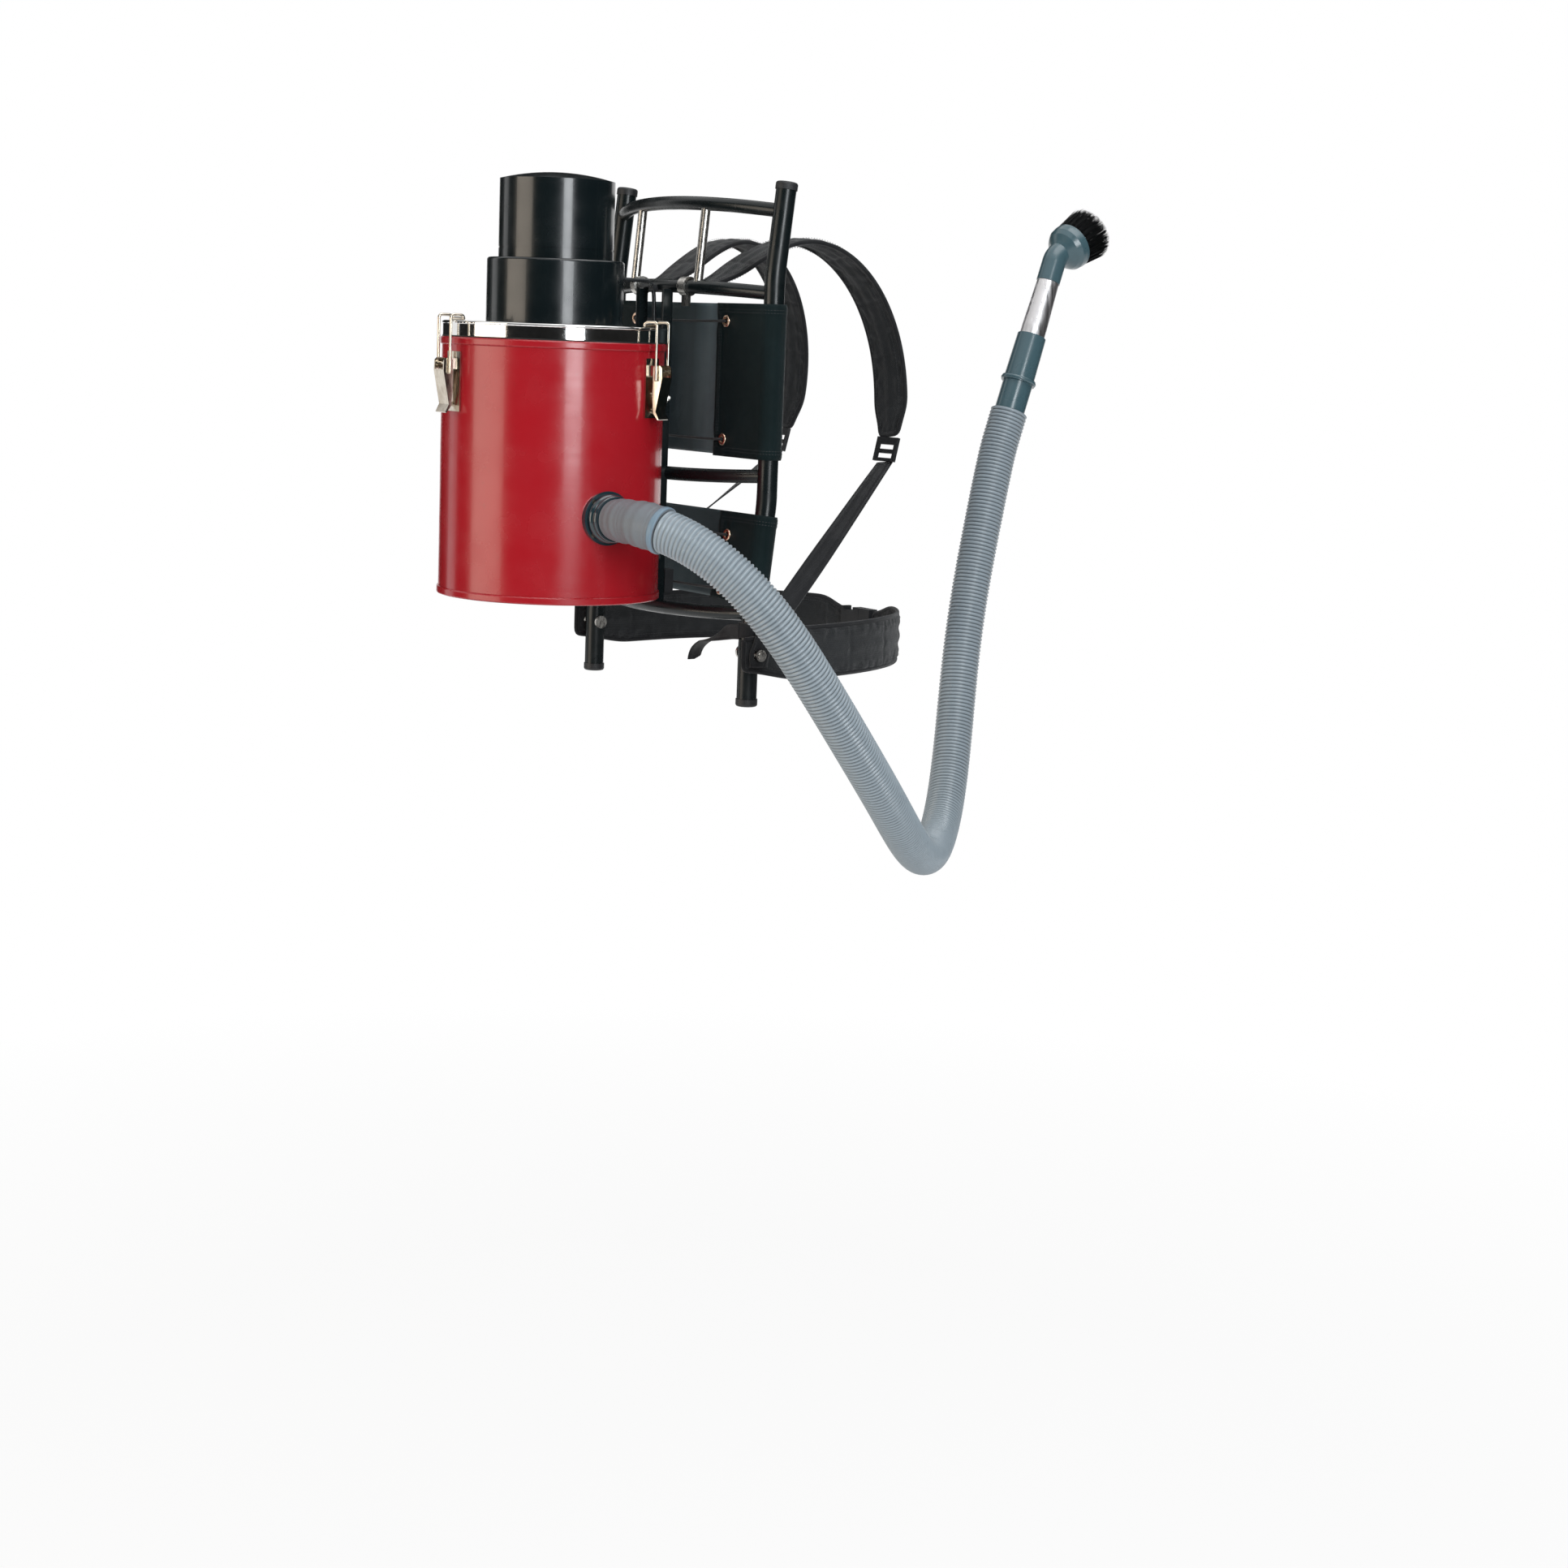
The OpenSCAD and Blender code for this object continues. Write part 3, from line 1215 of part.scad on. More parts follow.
module latch_base(angle) {
  difference() {
    union() {
      latch_plate(angle);
      for (s = [-1, 1]) at_wall(angle) translate([0, s * (ear_half + ear_t / 2), lever_pivot_h]) {
        translate([latch_pin_out / 2 + 0.5, 0, 0]) cube([latch_pin_out - 1, ear_t, 12], center = true);
        translate([latch_pin_out, 0, 0]) rotate([90, 0, 0]) cylinder(r = 4.5, h = ear_t, center = true, $fn = 48);
      }
    }
    at_wall(angle) translate([latch_pin_out, 0, lever_pivot_h]) rotate([90, 0, 0])
      cylinder(d = latch_pin_d + 2 * snug, h = 40, center = true, $fn = 48);
    rivet_places() cylinder(d = rivet_d + 2 * snug, h = 20, center = true, $fn = 32);
  }
}

module latch_bases() {
  color("#c9c2b4") for (a = latch_angles) latch_base(a);
}

module latch_pins() {
  color("#a9a396") for (a = latch_angles) at_wall(a) translate([latch_pin_out, 0, lever_pivot_h])
    rotate([90, 0, 0]) cylinder(d = latch_pin_d, h = lever_w + 0.8, center = true, $fn = 48);
}

// channel-shaped lever: two cheeks carry the pivots, the web between them starts below the
// ears so that the lever can swing over them, and its lower end turns out as a finger lip
module latch_lever(angle) {
  sheet = 1.5;
  x = latch_pin_out;
  z = lever_pivot_h;
  low = z - lever_l;
  web_top = z - 7;
  side = [[x - 5.5, z + 4], [x - 3, z + 6.5], [x + 3, z + 6.5], [x + 6, z + 3.5], [x + 6.5, z - 8],
    [x - 1, low + 9], [x + 3.5, low], [x + 2, low - 0.8], [x - 4, low + 7], [x - 5.5, low + 24]];
  hollow = [[x - 8, z + 12], [x + 12, z + 12], [x + 12, web_top], [x + 6.5 - sheet, web_top],
    [x - 1 - sheet, low + 9.4], [x - 8, low + 7]];
  color("#d2ccbf") at_wall(angle) difference() {
    rotate([90, 0, 0]) linear_extrude(lever_w, center = true) polygon(side);
    rotate([90, 0, 0]) linear_extrude(lever_w - 4, center = true) polygon(hollow);
    translate([x, 0, z]) rotate([90, 0, 0]) cylinder(d = latch_pin_d + 2 * running, h = 40, center = true, $fn = 48);
    translate([bail_out, 0, bail_pivot_h]) rotate([90, 0, 0])
      cylinder(d = bail_wire_d + 2 * running, h = 40, center = true, $fn = 48);
  }
}

// quarter bend of the bail's wire in the radial plane, from a start angle
module wire_bend(start) {
  rotate([90, 0, 0]) rotate([0, 0, start]) rotate_extrude(angle = 90, $fn = 64)
    translate([bail_bend_r, 0]) circle(r = wire_r + 0.02, $fn = 32);
}

// wire bail: two legs that arch over the lid's lip and meet in a cross wire
module latch_bail(angle) {
  half = bail_span / 2;
  lap = 0.2;
  top = hook_h + bail_bend_r;
  leg_l = hook_h - bail_pivot_h + lap;
  flat_l = bail_out - hook_out - 2 * bail_bend_r + 2 * lap;
  color("#d8d2c6") at_wall(angle) {
    for (s = [-1, 1]) translate([0, s * half, 0]) {
      translate([bail_out, 0, bail_pivot_h]) {
        cylinder(r = wire_r, h = leg_l, $fn = 32);
        sphere(r = wire_r + 0.05, $fn = 32);
        rotate([90 * s, 0, 0]) cylinder(r = wire_r, h = half - ear_half - ear_t - seat, $fn = 32);
      }
      translate([bail_out - bail_bend_r, 0, hook_h]) wire_bend(0);
      translate([hook_out + bail_bend_r - lap, 0, top]) rotate([0, 90, 0]) cylinder(r = wire_r, h = flat_l, $fn = 32);
      translate([hook_out + bail_bend_r, 0, hook_h]) wire_bend(90);
      translate([hook_out, 0, hook_h]) sphere(r = wire_r + 0.05, $fn = 32);
    }
    translate([hook_out, 0, hook_h]) rotate([90, 0, 0]) cylinder(r = wire_r, h = bail_span, center = true, $fn = 32);
  }
}

upright(upright_x);  // upright_right
upright(-upright_x);  // upright_left
crossbar(top_bar_z, top_bar_tip);  // top_bar
crossbar(second_bar_z, second_bar_tip);  // second_bar
crossbar(middle_bar_z, middle_bar_tip);  // middle_bar
crossbar(bottom_bar_z, bottom_bar_tip);  // bottom_bar
load_rods();
upright_caps();
mount_rails();
can_saddles();
mount_bolts();
canister();
inlet_flange();
can_rivets();
latch_bases();
latch_pins();
lid_gasket();
lid();
lower_motor_housing();
upper_motor_housing();
dome_cap();
fan_casing();
motor_casing();
motor_bearings();
motor_gasket();
motor_rotor();
filter_cartridge();
filter_rod();
filter_nut();
switch_body();
switch_rocker();
lead();
lead_clips();
lead_gland();
power_inlet();
upper_band();
lower_band();
band_eyelets();
lacing_cords();
shoulder_pads();
strap_webbing();
strap_buckles();
strap_anchors();
clevis_pins();
waist_belt();
belt_buckle();
strap_tail();
hose_cuff();
hose();
swivel_collar();
latch_lever(latch_angles[0]);  // latch_lever_rear
latch_lever(latch_angles[1]);  // latch_lever_right
latch_lever(latch_angles[2]);  // latch_lever_left
latch_bail(latch_angles[0]);  // latch_bail_rear
latch_bail(latch_angles[1]);  // latch_bail_right
latch_bail(latch_angles[2]);  // latch_bail_left
wand_cuff();
wand_tube();
brush_head();
brush_bristles();
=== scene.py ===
# %% [markdown]
# # A backpack vacuum cleaner, dressed piece by piece
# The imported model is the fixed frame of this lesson: every metal and plastic part already has its
# true shape there. What is left for Blender is what solid modelling does badly: cloth, webbing,
# foam, a ribbed hose, hair-fine bristles, and the finish of every surface.
#
# Everything is in metres. +X is the wearer's right, +Y the wearer's forward, +Z up, and the origin
# lies on the back bands, where the wearer's back rests.

import json
import math
import random

import bmesh
import bpy
import numpy as np
from mathutils import Matrix, Vector


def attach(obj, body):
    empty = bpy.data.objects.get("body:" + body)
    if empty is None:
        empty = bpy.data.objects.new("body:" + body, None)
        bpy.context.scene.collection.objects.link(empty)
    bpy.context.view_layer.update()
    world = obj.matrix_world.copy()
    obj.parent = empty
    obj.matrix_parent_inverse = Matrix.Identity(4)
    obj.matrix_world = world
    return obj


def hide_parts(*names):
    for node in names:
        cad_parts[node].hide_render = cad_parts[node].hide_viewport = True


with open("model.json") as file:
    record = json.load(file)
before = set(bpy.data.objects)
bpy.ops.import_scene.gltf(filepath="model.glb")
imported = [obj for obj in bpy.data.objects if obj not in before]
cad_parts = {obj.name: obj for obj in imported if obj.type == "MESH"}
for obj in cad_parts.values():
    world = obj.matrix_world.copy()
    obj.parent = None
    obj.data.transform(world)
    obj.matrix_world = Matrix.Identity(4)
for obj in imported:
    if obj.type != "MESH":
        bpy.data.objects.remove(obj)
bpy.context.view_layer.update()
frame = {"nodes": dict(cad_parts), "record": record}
nodes = frame["nodes"]

# %% [markdown]
# ## The camera
# The camera stands behind the wearer's right shoulder, about three metres off, a little above the
# canister's middle. Its axes are written out as three directions, which is clearer than Euler
# angles when the horizon tips by two degrees.

# %% Camera
eye = Vector((2.7713, -1.806, 0.1278))
forward = Vector((-0.8060, 0.5683, -0.1657)).normalized()
level = Vector((0.5763, 0.8173, 0)).normalized()
above = level.cross(forward)
roll = math.radians(2.226)
right = level * math.cos(roll) + above * math.sin(roll)
up = above * math.cos(roll) - level * math.sin(roll)
focal_length_mm = 61.7
film_width_mm = 36

lens = bpy.data.cameras.new("camera")
lens.lens = focal_length_mm
lens.sensor_width = film_width_mm
camera = bpy.data.objects.new("camera", lens)
bpy.context.scene.collection.objects.link(camera)
camera.matrix_world = Matrix(
    (
        (right.x, up.x, -forward.x, eye.x),
        (right.y, up.y, -forward.y, eye.y),
        (right.z, up.z, -forward.z, eye.z),
        (0, 0, 0, 1),
    )
)
bpy.context.scene.camera = camera
print("camera at", [round(v, 3) for v in camera.matrix_world.translation])

# %% [markdown]
# ## Curves that straps and hoses follow
# A uniform cubic B-spline, steered by listed points, is a smooth line whose bends never kink.
# The same points drive the solid model, so cloth and solid share one path. Lengths along the curve
# come from a fine table, because equal steps of the parameter aren't equal steps of length.

# %% Spline helpers
fine_steps = 60


def spline(route, u):
    """The point at parameter u of the smooth curve that a route's points steer."""
    route = np.asarray(route, float)
    i = int(min(max(math.floor(u), 0), len(route) - 4))
    t = u - i
    cubics = [(1 - t) ** 3, 3 * t**3 - 6 * t * t + 4, -3 * t**3 + 3 * t * t + 3 * t + 1, t**3]
    return (np.array(cubics) / 6) @ route[i : i + 4]


def run_along(points):
    """The length along a line up to each of its points."""
    return np.concatenate([[0], np.cumsum(np.linalg.norm(np.diff(points, axis=0), axis=1))])


def at_lengths(points, run, want):
    """The points of a line that lie at the wanted lengths."""
    return np.stack([np.interp(want, run, points[:, k]) for k in range(3)], 1)


def soften(points, rounds):
    """Evens out a line: each inner point moves towards its neighbours."""
    for _ in range(rounds):
        points[1:-1] = (points[:-2] + 2 * points[1:-1] + points[2:]) / 4


def walk(route, count, start=0, end=None):
    """Evenly spaced points along a route in millimetres, and their lengths, both in metres."""
    pieces = len(route) - 3
    fine = np.array([spline(route, u) for u in np.linspace(0, pieces, fine_steps * pieces + 1)])
    run = run_along(fine)
    want = np.linspace(start, run[-1] if end is None else end, count)
    return at_lengths(fine, run, want) / 1000, want / 1000


print("spline helpers ready")

# %% [markdown]
# A flat strap also needs to know which way it faces at each point. Round things get directions
# that don't twist about the line, while straps hold a side near a fixed one, as a sewn end does.

# %% Directions along a line
def unit(v):
    """A vector, or each row of several, at length 1."""
    return v / np.linalg.norm(v, axis=-1, keepdims=True)


def headings(points):
    """The direction of a line at each of its points."""
    return unit(np.gradient(points, axis=0))


def free_frames(points, side):
    """Side and up directions along a line that don't twist about it."""
    ahead, sides, n = headings(points), [], np.asarray(side, float)
    for d in ahead:
        n = unit(n - (n @ d) * d)
        sides.append(n)
    sides = np.array(sides)
    return sides, np.cross(ahead, sides)


def held_frames(points, side):
    """Side and up directions whose side stays near a fixed direction, or near one per point."""
    ahead = headings(points)
    side = np.broadcast_to(np.asarray(side, float), points.shape)
    sides = unit(side - (side * ahead).sum(1)[:, None] * ahead)
    return sides, np.cross(ahead, sides)


print("direction helpers ready")

# %% [markdown]
# ## From rings to a mesh
# Nearly every soft piece is a row of rings skinned with quads: a hose is round rings, webbing is
# flat ones, a pad is crowned ones. One helper makes them all. UVs are in metres, across the piece
# and along it, so a weave keeps its real size however the strap turns.

# %% A piece on a body
def new_piece(name, points, faces, body="pack", stands_for=(), slot=None, finish=None, uvs=None):
    """A piece that rides on a body; it wears its slot's finish unless another one is given."""
    mesh = bpy.data.meshes.new(name)
    mesh.from_pydata([tuple(p) for p in points], [], [tuple(int(i) for i in f) for f in faces])
    if uvs is not None:
        layer = mesh.uv_layers.new(name="cloth")
        layer.data.foreach_set("uv", np.asarray(uvs, float).ravel())
    mesh.validate()
    mesh.polygons.foreach_set("use_smooth", [True] * len(mesh.polygons))
    mesh.materials.append(finish.material if finish else finishes[slot])
    piece = bpy.data.objects.new(name, mesh)
    bpy.context.scene.collection.objects.link(piece)
    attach(piece, body)
    if stands_for:
        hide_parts(*stands_for)
    return piece


print("piece helper ready")

# %% Rings and their skin
def skin(rings, capped=True):
    """Quads between rings of equal count, with one face over each end if capped."""
    count, n = len(rings), len(rings[0])
    faces = []
    for i in range(count - 1):
        for k in range(n):
            a, b = i * n + k, i * n + (k + 1) % n
            faces.append((a, b, b + n, a + n))
    if capped:
        faces.append(tuple(reversed(range(n))))
        faces.append(tuple(range((count - 1) * n, count * n)))
    return faces


def ring_uvs(faces, n, lengths, girth):
    """UVs for skin(): turn round the ring times girth, and length along it, both in metres."""
    uvs = []
    for face in faces:
        if len(face) != 4:
            uvs += [(0.0, 0.0)] * len(face)
            continue
        ks = [f % n for f in face]
        wraps = max(ks) - min(ks) > n / 2
        for f, k in zip(face, ks):
            turn = (k + n if wraps and k < n / 2 else k) / n
            uvs.append((turn * girth, lengths[f // n]))
    return uvs


def swept(name, points, sides, ups, outline, lengths, **settings):
    """A closed piece along a line; outline is [(side, up), ...] in metres, or gives it for point i."""
    rings = []
    for i, p in enumerate(points):
        shape = np.asarray(outline(i) if callable(outline) else outline, float)
        rings.append(p + shape[:, :1] * sides[i] + shape[:, 1:] * ups[i])
    girth = float(run_along(np.vstack([rings[0], rings[0][:1]]))[-1])
    faces = skin(rings)
    uvs = ring_uvs(faces, len(rings[0]), lengths, girth)
    return new_piece(name, np.vstack(rings), faces, uvs=uvs, **settings)


print("ring helpers ready")

# %% Cross-sections
def circle_outline(radius, n):
    """A round cross-section of n points."""
    a = 2 * math.pi * np.arange(n) / n
    return np.stack([radius * np.cos(a), radius * np.sin(a)], 1)


tape_sides = 16


def outline_tape(width, thick):
    """A strap's cross-section: flat, with softly rounded edges."""
    a = 2 * math.pi * (np.arange(tape_sides) + 0.5) / tape_sides
    x = width / 2 * np.sign(np.cos(a)) * np.abs(np.cos(a)) ** 0.7
    y = thick / 2 * np.sign(np.sin(a)) * np.abs(np.sin(a)) ** 0.3
    return np.stack([x, y], 1)


print("cross-sections ready")

# %% [markdown]
# ## Building finishes from nodes
# A finish is never one flat colour. Each starts from a shader with constant settings and then gets
# what the eye looks for: a little drift in colour, uneven gloss, and a fine relief. The helpers
# below keep a finish to a few readable lines. Object coordinates are metres in the frame, so one
# scale means the same on every part.

# %% Finish helpers
class Finish:
    """A material under construction: constants go on the shader, detail comes from textures."""

    def __init__(self, name, colour, roughness, metallic=0.0, **constants):
        self.material = bpy.data.materials.new(name)
        self.material.use_nodes = True
        self.tree = self.material.node_tree
        self.shader = next(n for n in self.tree.nodes if n.type == "BSDF_PRINCIPLED")
        self.colour = (*colour, 1)
        self.set("Base Color", self.colour)
        self.set("Roughness", roughness)
        self.set("Metallic", metallic)
        for socket, value in constants.items():
            self.set(socket.replace("_", " "), value)
        self.normal = None
        self.paint = None

    def set(self, socket, value):
        self.shader.inputs[socket].default_value = value

    def node(self, kind, settings=(), **inputs):
        """Adds a node; i0, i1 and so on name its inputs by number, other words by their name."""
        made = self.tree.nodes.new(kind)
        for key, value in dict(settings).items():
            setattr(made, key, value)
        for key, value in inputs.items():
            numbered = key[0] == "i" and key[1:].isdigit()
            socket = made.inputs[int(key[1:]) if numbered else key.replace("_", " ")]
            if isinstance(value, bpy.types.NodeSocket):
                self.tree.links.new(value, socket)
            else:
                socket.default_value = value
        return made

    def where(self):
        """Object coordinates, which are metres in the frame."""
        return self.node("ShaderNodeTexCoord").outputs["Object"]

    def on_cloth(self):
        """Metres across and along a piece of cloth, as two outputs."""
        uvs = self.node("ShaderNodeUVMap", {"uv_map": "cloth"}).outputs[0]
        return self.node("ShaderNodeSeparateXYZ", Vector=uvs).outputs[:2]

    def place(self, stretch=(1, 1, 1)):
        return self.node("ShaderNodeMapping", Vector=self.where(), Scale=stretch).outputs[0]

    def noise(self, scale, detail=3.0, stretch=(1, 1, 1), rough=0.5):
        place = self.place(stretch)
        made = self.node("ShaderNodeTexNoise", Vector=place, Scale=scale, Detail=detail, Roughness=rough)
        return made.outputs["Fac"]

    def spread(self, value, low, high, out_low=0.0, out_high=1.0):
        """Maps low to out_low and high to out_high, and holds the value between them."""
        limits = {"i1": low, "i2": high, "i3": out_low, "i4": out_high}
        return self.node("ShaderNodeMapRange", {"clamp": True}, i0=value, **limits).outputs[0]

    def maths(self, operation, a, b=0.0):
        return self.node("ShaderNodeMath", {"operation": operation}, i0=a, i1=b).outputs[0]

    def tint(self, mask, colour):
        """Paints another colour over the finish where the mask is 1."""
        mixed = self.node("ShaderNodeMix", {"data_type": "RGBA"})
        self.tree.links.new(mask, mixed.inputs[0])
        if self.paint is None:
            mixed.inputs[6].default_value = self.colour
        else:
            self.tree.links.new(self.paint, mixed.inputs[6])
        mixed.inputs[7].default_value = (*colour, 1)
        self.paint = mixed.outputs[2]
        self.tree.links.new(self.paint, self.shader.inputs["Base Color"])
        return self

    def gloss(self, value):
        """Drives the roughness from a texture value."""
        self.tree.links.new(value, self.shader.inputs["Roughness"])
        return self

    def relief(self, height, depth, strength=1.0):
        """Adds a bump of that depth in metres; several add up."""
        bump = self.node("ShaderNodeBump", Height=height, Distance=depth, Strength=strength)
        if self.normal is not None:
            self.tree.links.new(self.normal, bump.inputs["Normal"])
        self.normal = bump.outputs[0]
        self.tree.links.new(self.normal, self.shader.inputs["Normal"])
        return self


print("finish helpers ready")

# %% Finishes by slot
finishes = {}


def slot_finish(slot, *settings, **constants):
    """A finish that is kept under the name of the record's slot that it is for."""
    made = Finish(slot, *settings, **constants)
    finishes[slot] = made.material
    return made


print("slot finishes so far:", len(finishes))

# %% [markdown]
# ## Enamel, steel and plated parts
# Baked enamel has a faint orange peel and picks up scuffs that dull it in patches. The canister's
# sheet was rolled, so shallow ripples run round it and break up long reflections. Polished steel
# is a dark mirror with hairlines that run the way it was buffed; nickel and zinc are the same
# metal idea with a warmer tint and a mottled gloss.

# %% Enamel finishes
enamel = slot_finish(
    "frame_enamel", (0.004, 0.0075, 0.0085), 0.3,
    Specular_IOR_Level=0.34, Coat_Weight=0.16, Coat_Roughness=0.22,
)  # fmt: skip
scuffs = enamel.noise(38, 6, rough=0.65)
enamel.gloss(enamel.spread(scuffs, 0.45, 0.75, 0.27, 0.45))
enamel.tint(enamel.spread(enamel.noise(160, 5, (1, 1, 0.25)), 0.68, 0.8), (0.03, 0.031, 0.032))
enamel.relief(enamel.noise(900, 2), 0.00002)

red = slot_finish("can_enamel", (0.385, 0.0085, 0.0155), 0.24, Coat_Weight=0.2, Coat_Roughness=0.1)
red.tint(red.spread(red.noise(7, 3), 0.35, 0.75, 0, 0.5), (0.33, 0.008, 0.016))
grime = red.spread(red.noise(60, 8, rough=0.7), 0.62, 0.8, 0, 0.5)
red.tint(grime, (0.24, 0.02, 0.02))
red.gloss(red.spread(red.noise(25, 5), 0.35, 0.8, 0.2, 0.34))
ripple = red.maths("MULTIPLY", red.noise(1.0, 2, (6, 6, 95)), red.spread(red.noise(5, 2), 0.3, 0.7))
red.relief(ripple, 0.0007, 0.5)
red.relief(red.noise(700, 2), 0.00002)
print("enamel finishes:", sorted(finishes))

# %% Metal finishes
def metal(slot, colour, roughness, streaks, stretch, warm=None, mottle=0.0):
    """Polished or plated metal: hairlines in its gloss, a warmer tint in patches, and a mottle."""
    made = slot_finish(slot, colour, roughness, 1.0)
    lines = made.noise(streaks, 4, stretch, 0.7)
    made.gloss(made.spread(lines, 0.3, 0.75, roughness * 0.6, roughness * 1.7))
    made.relief(lines, 0.00001)
    if warm:
        made.tint(made.spread(made.noise(60, 5), 0.4, 0.75, 0, 0.8), warm)
    if mottle:
        cells = made.node("ShaderNodeTexVoronoi", Vector=made.place(), Scale=420.0).outputs["Distance"]
        made.tint(made.spread(cells, 0.1, 0.6, 0, mottle), tuple(c * 0.62 for c in colour))
    return made


metal("lid_steel", (0.78, 0.78, 0.77), 0.07, 60, (1, 1, 30))
metal("latch_nickel", (0.68, 0.62, 0.53), 0.16, 260, (1, 1, 0.3), (0.4, 0.33, 0.25))
metal("plated_steel", (0.68, 0.66, 0.62), 0.28, 320, (1, 1, 0.4), None, 0.5)
metal("eyelet_brass", (0.84, 0.60, 0.44), 0.24, 500, (1, 1, 1), (0.55, 0.33, 0.22))
metal("fan_aluminium", (0.62, 0.64, 0.65), 0.32, 180, (1, 1, 6), None, 0.3)
metal("motor_steel", (0.4, 0.41, 0.42), 0.36, 200, (1, 1, 60), (0.3, 0.27, 0.22))
metal("wand_steel", (0.84, 0.83, 0.84), 0.34, 240, (1, 1, 0.06))
print("metal finishes:", len(finishes))

# %% [markdown]
# ## Plastics and rubbers
# Moulded plastic shows a fine grain, a softer gloss than enamel, and dust in the grain. The motor
# housings are a deep blue-black with a satin polish; the collar is glossier; the hose and its cuff
# are soft vinyl, matt and slightly chalky.

# %% Plastic finishes
def plastic(slot, colour, low, high, grain, depth, dust=None, **constants):
    """Moulded plastic: gloss from low to high, a grain of that scale and depth, and dust in it."""
    made = slot_finish(slot, colour, (low + high) / 2, 0.0, **constants)
    made.gloss(made.spread(made.noise(30, 5), 0.35, 0.75, low, high))
    if dust:
        made.tint(made.spread(made.noise(45, 7, rough=0.7), 0.5, 0.85, 0, 0.6), dust)
    made.relief(made.noise(grain, 2), depth)
    return made


soft_coat = {"Coat_Weight": 0.15}
thin_coat = {"Coat_Weight": 0.25}
dull_coat = {"Coat_Weight": 0.45, "Coat_Roughness": 0.16}
plastic("housing_black", (0.004, 0.008, 0.0095), 0.2, 0.3, 600, 0.00002, (0.009, 0.013, 0.014), **thin_coat)
plastic("black_plastic", (0.012, 0.013, 0.015), 0.4, 0.58, 1400, 0.0002, (0.035, 0.035, 0.035))
plastic("seal_rubber", (0.015, 0.015, 0.015), 0.6, 0.8, 900, 0.0002, (0.04, 0.04, 0.038))
plastic("lead_sheath", (0.02, 0.022, 0.024), 0.22, 0.34, 800, 0.00004, (0.035, 0.036, 0.037))
vinyl_dust = (0.215, 0.255, 0.285)
vinyl = plastic("hose_grey", (0.29, 0.345, 0.385), 0.26, 0.4, 1100, 0.00004, vinyl_dust, **soft_coat)
plastic("cuff_grey", (0.165, 0.186, 0.208), 0.45, 0.62, 1000, 0.00015, (0.13, 0.138, 0.145))
plastic("collar_dark", (0.016, 0.034, 0.043), 0.1, 0.2, 500, 0.00002, None, Coat_Weight=0.6)
plastic("wand_teal", (0.056, 0.112, 0.134), 0.26, 0.38, 900, 0.00002, (0.042, 0.083, 0.1), **dull_coat)
plastic("bristle_black", (0.0035, 0.004, 0.0045), 0.34, 0.46, 2000, 0.00004, Specular_IOR_Level=0.14)
ring_blue = plastic("cuff_ring_blue", (0.17, 0.25, 0.32), 0.35, 0.5, 900, 0.0001)
print("plastic finishes:", len(finishes))

# %% [markdown]
# ## Cloth
# A plain weave is two sets of threads that trade places: along one, the height is a rounded ridge,
# and where the product of both waves changes sign the other set comes on top. Webbing is a
# herringbone, whose diagonal turns back every few threads. Both read the UVs, which are metres
# across and along the piece. A little sheen stands for the fuzz that catches light at the edges.
# The bands are coated on their inner side, so their lining is smoother than the cloth and paler, partly the
# coating's own colour and partly painted sheen, and one patch of the upper band, beside its right flap, is a
# painted sheen, paler still.

# %% Cloth finishes
def weave(finish, pitch, depth):
    """A plain weave with that many metres from thread to thread; returns its height."""
    across, along = finish.on_cloth()
    turn = 2 * math.pi / pitch
    a = finish.maths("SINE", finish.maths("MULTIPLY", across, turn))
    b = finish.maths("SINE", finish.maths("MULTIPLY", along, turn))
    swap = finish.maths("GREATER_THAN", finish.maths("MULTIPLY", a, b), 0.0)
    over = finish.maths("MULTIPLY", finish.maths("ABSOLUTE", a), swap)
    under = finish.maths("MULTIPLY", finish.maths("ABSOLUTE", b), finish.maths("SUBTRACT", 1.0, swap))
    height = finish.maths("ADD", over, under)
    finish.relief(height, depth)
    return height


def cloth(slot, colour, pitch, depth, roughness, sheen, faded, shine=0.24):
    """Woven cloth: painted shade between its threads, faded in patches, with a little sheen."""
    fuzz = {"Sheen_Weight": sheen, "Sheen_Roughness": 0.45}
    made = slot_finish(slot, colour, roughness, 0.0, Specular_IOR_Level=shine, **fuzz)
    height = weave(made, pitch, depth)
    # painted shade: darker between the threads, where the weave is low
    made.tint(made.spread(height, 0.75, 0.2, 0, 0.75), tuple(c * 0.45 for c in colour))
    made.tint(made.spread(made.noise(22, 6, rough=0.65), 0.45, 0.8, 0, 0.7), faded)
    made.gloss(made.spread(made.noise(70, 4), 0.3, 0.8, roughness * 0.85, min(1.0, roughness * 1.15)))
    return made


band_faded = (0.007, 0.019, 0.0215)
cloth("band_cloth", (0.0028, 0.0115, 0.013), 0.0016, 0.0002, 0.42, 0.04, band_faded, 0.1)
cloth("pad_cloth", (0.014, 0.016, 0.018), 0.0022, 0.00025, 0.7, 0.2, (0.024, 0.026, 0.029))
cloth("filter_fleece", (0.62, 0.6, 0.52), 0.0012, 0.0001, 0.9, 0.1, (0.5, 0.47, 0.4))
print("woven finishes:", len(finishes))

# %% The bands' lining
# The upper band gets a painted sheen: a pale patch on its lining beside its right flap.
sheen_patch_x = 0.03
sheen_patch_edge, sheen_patch_core = 0.04, 0.004
lower_band_z, upper_band_z = -0.08, -0.02
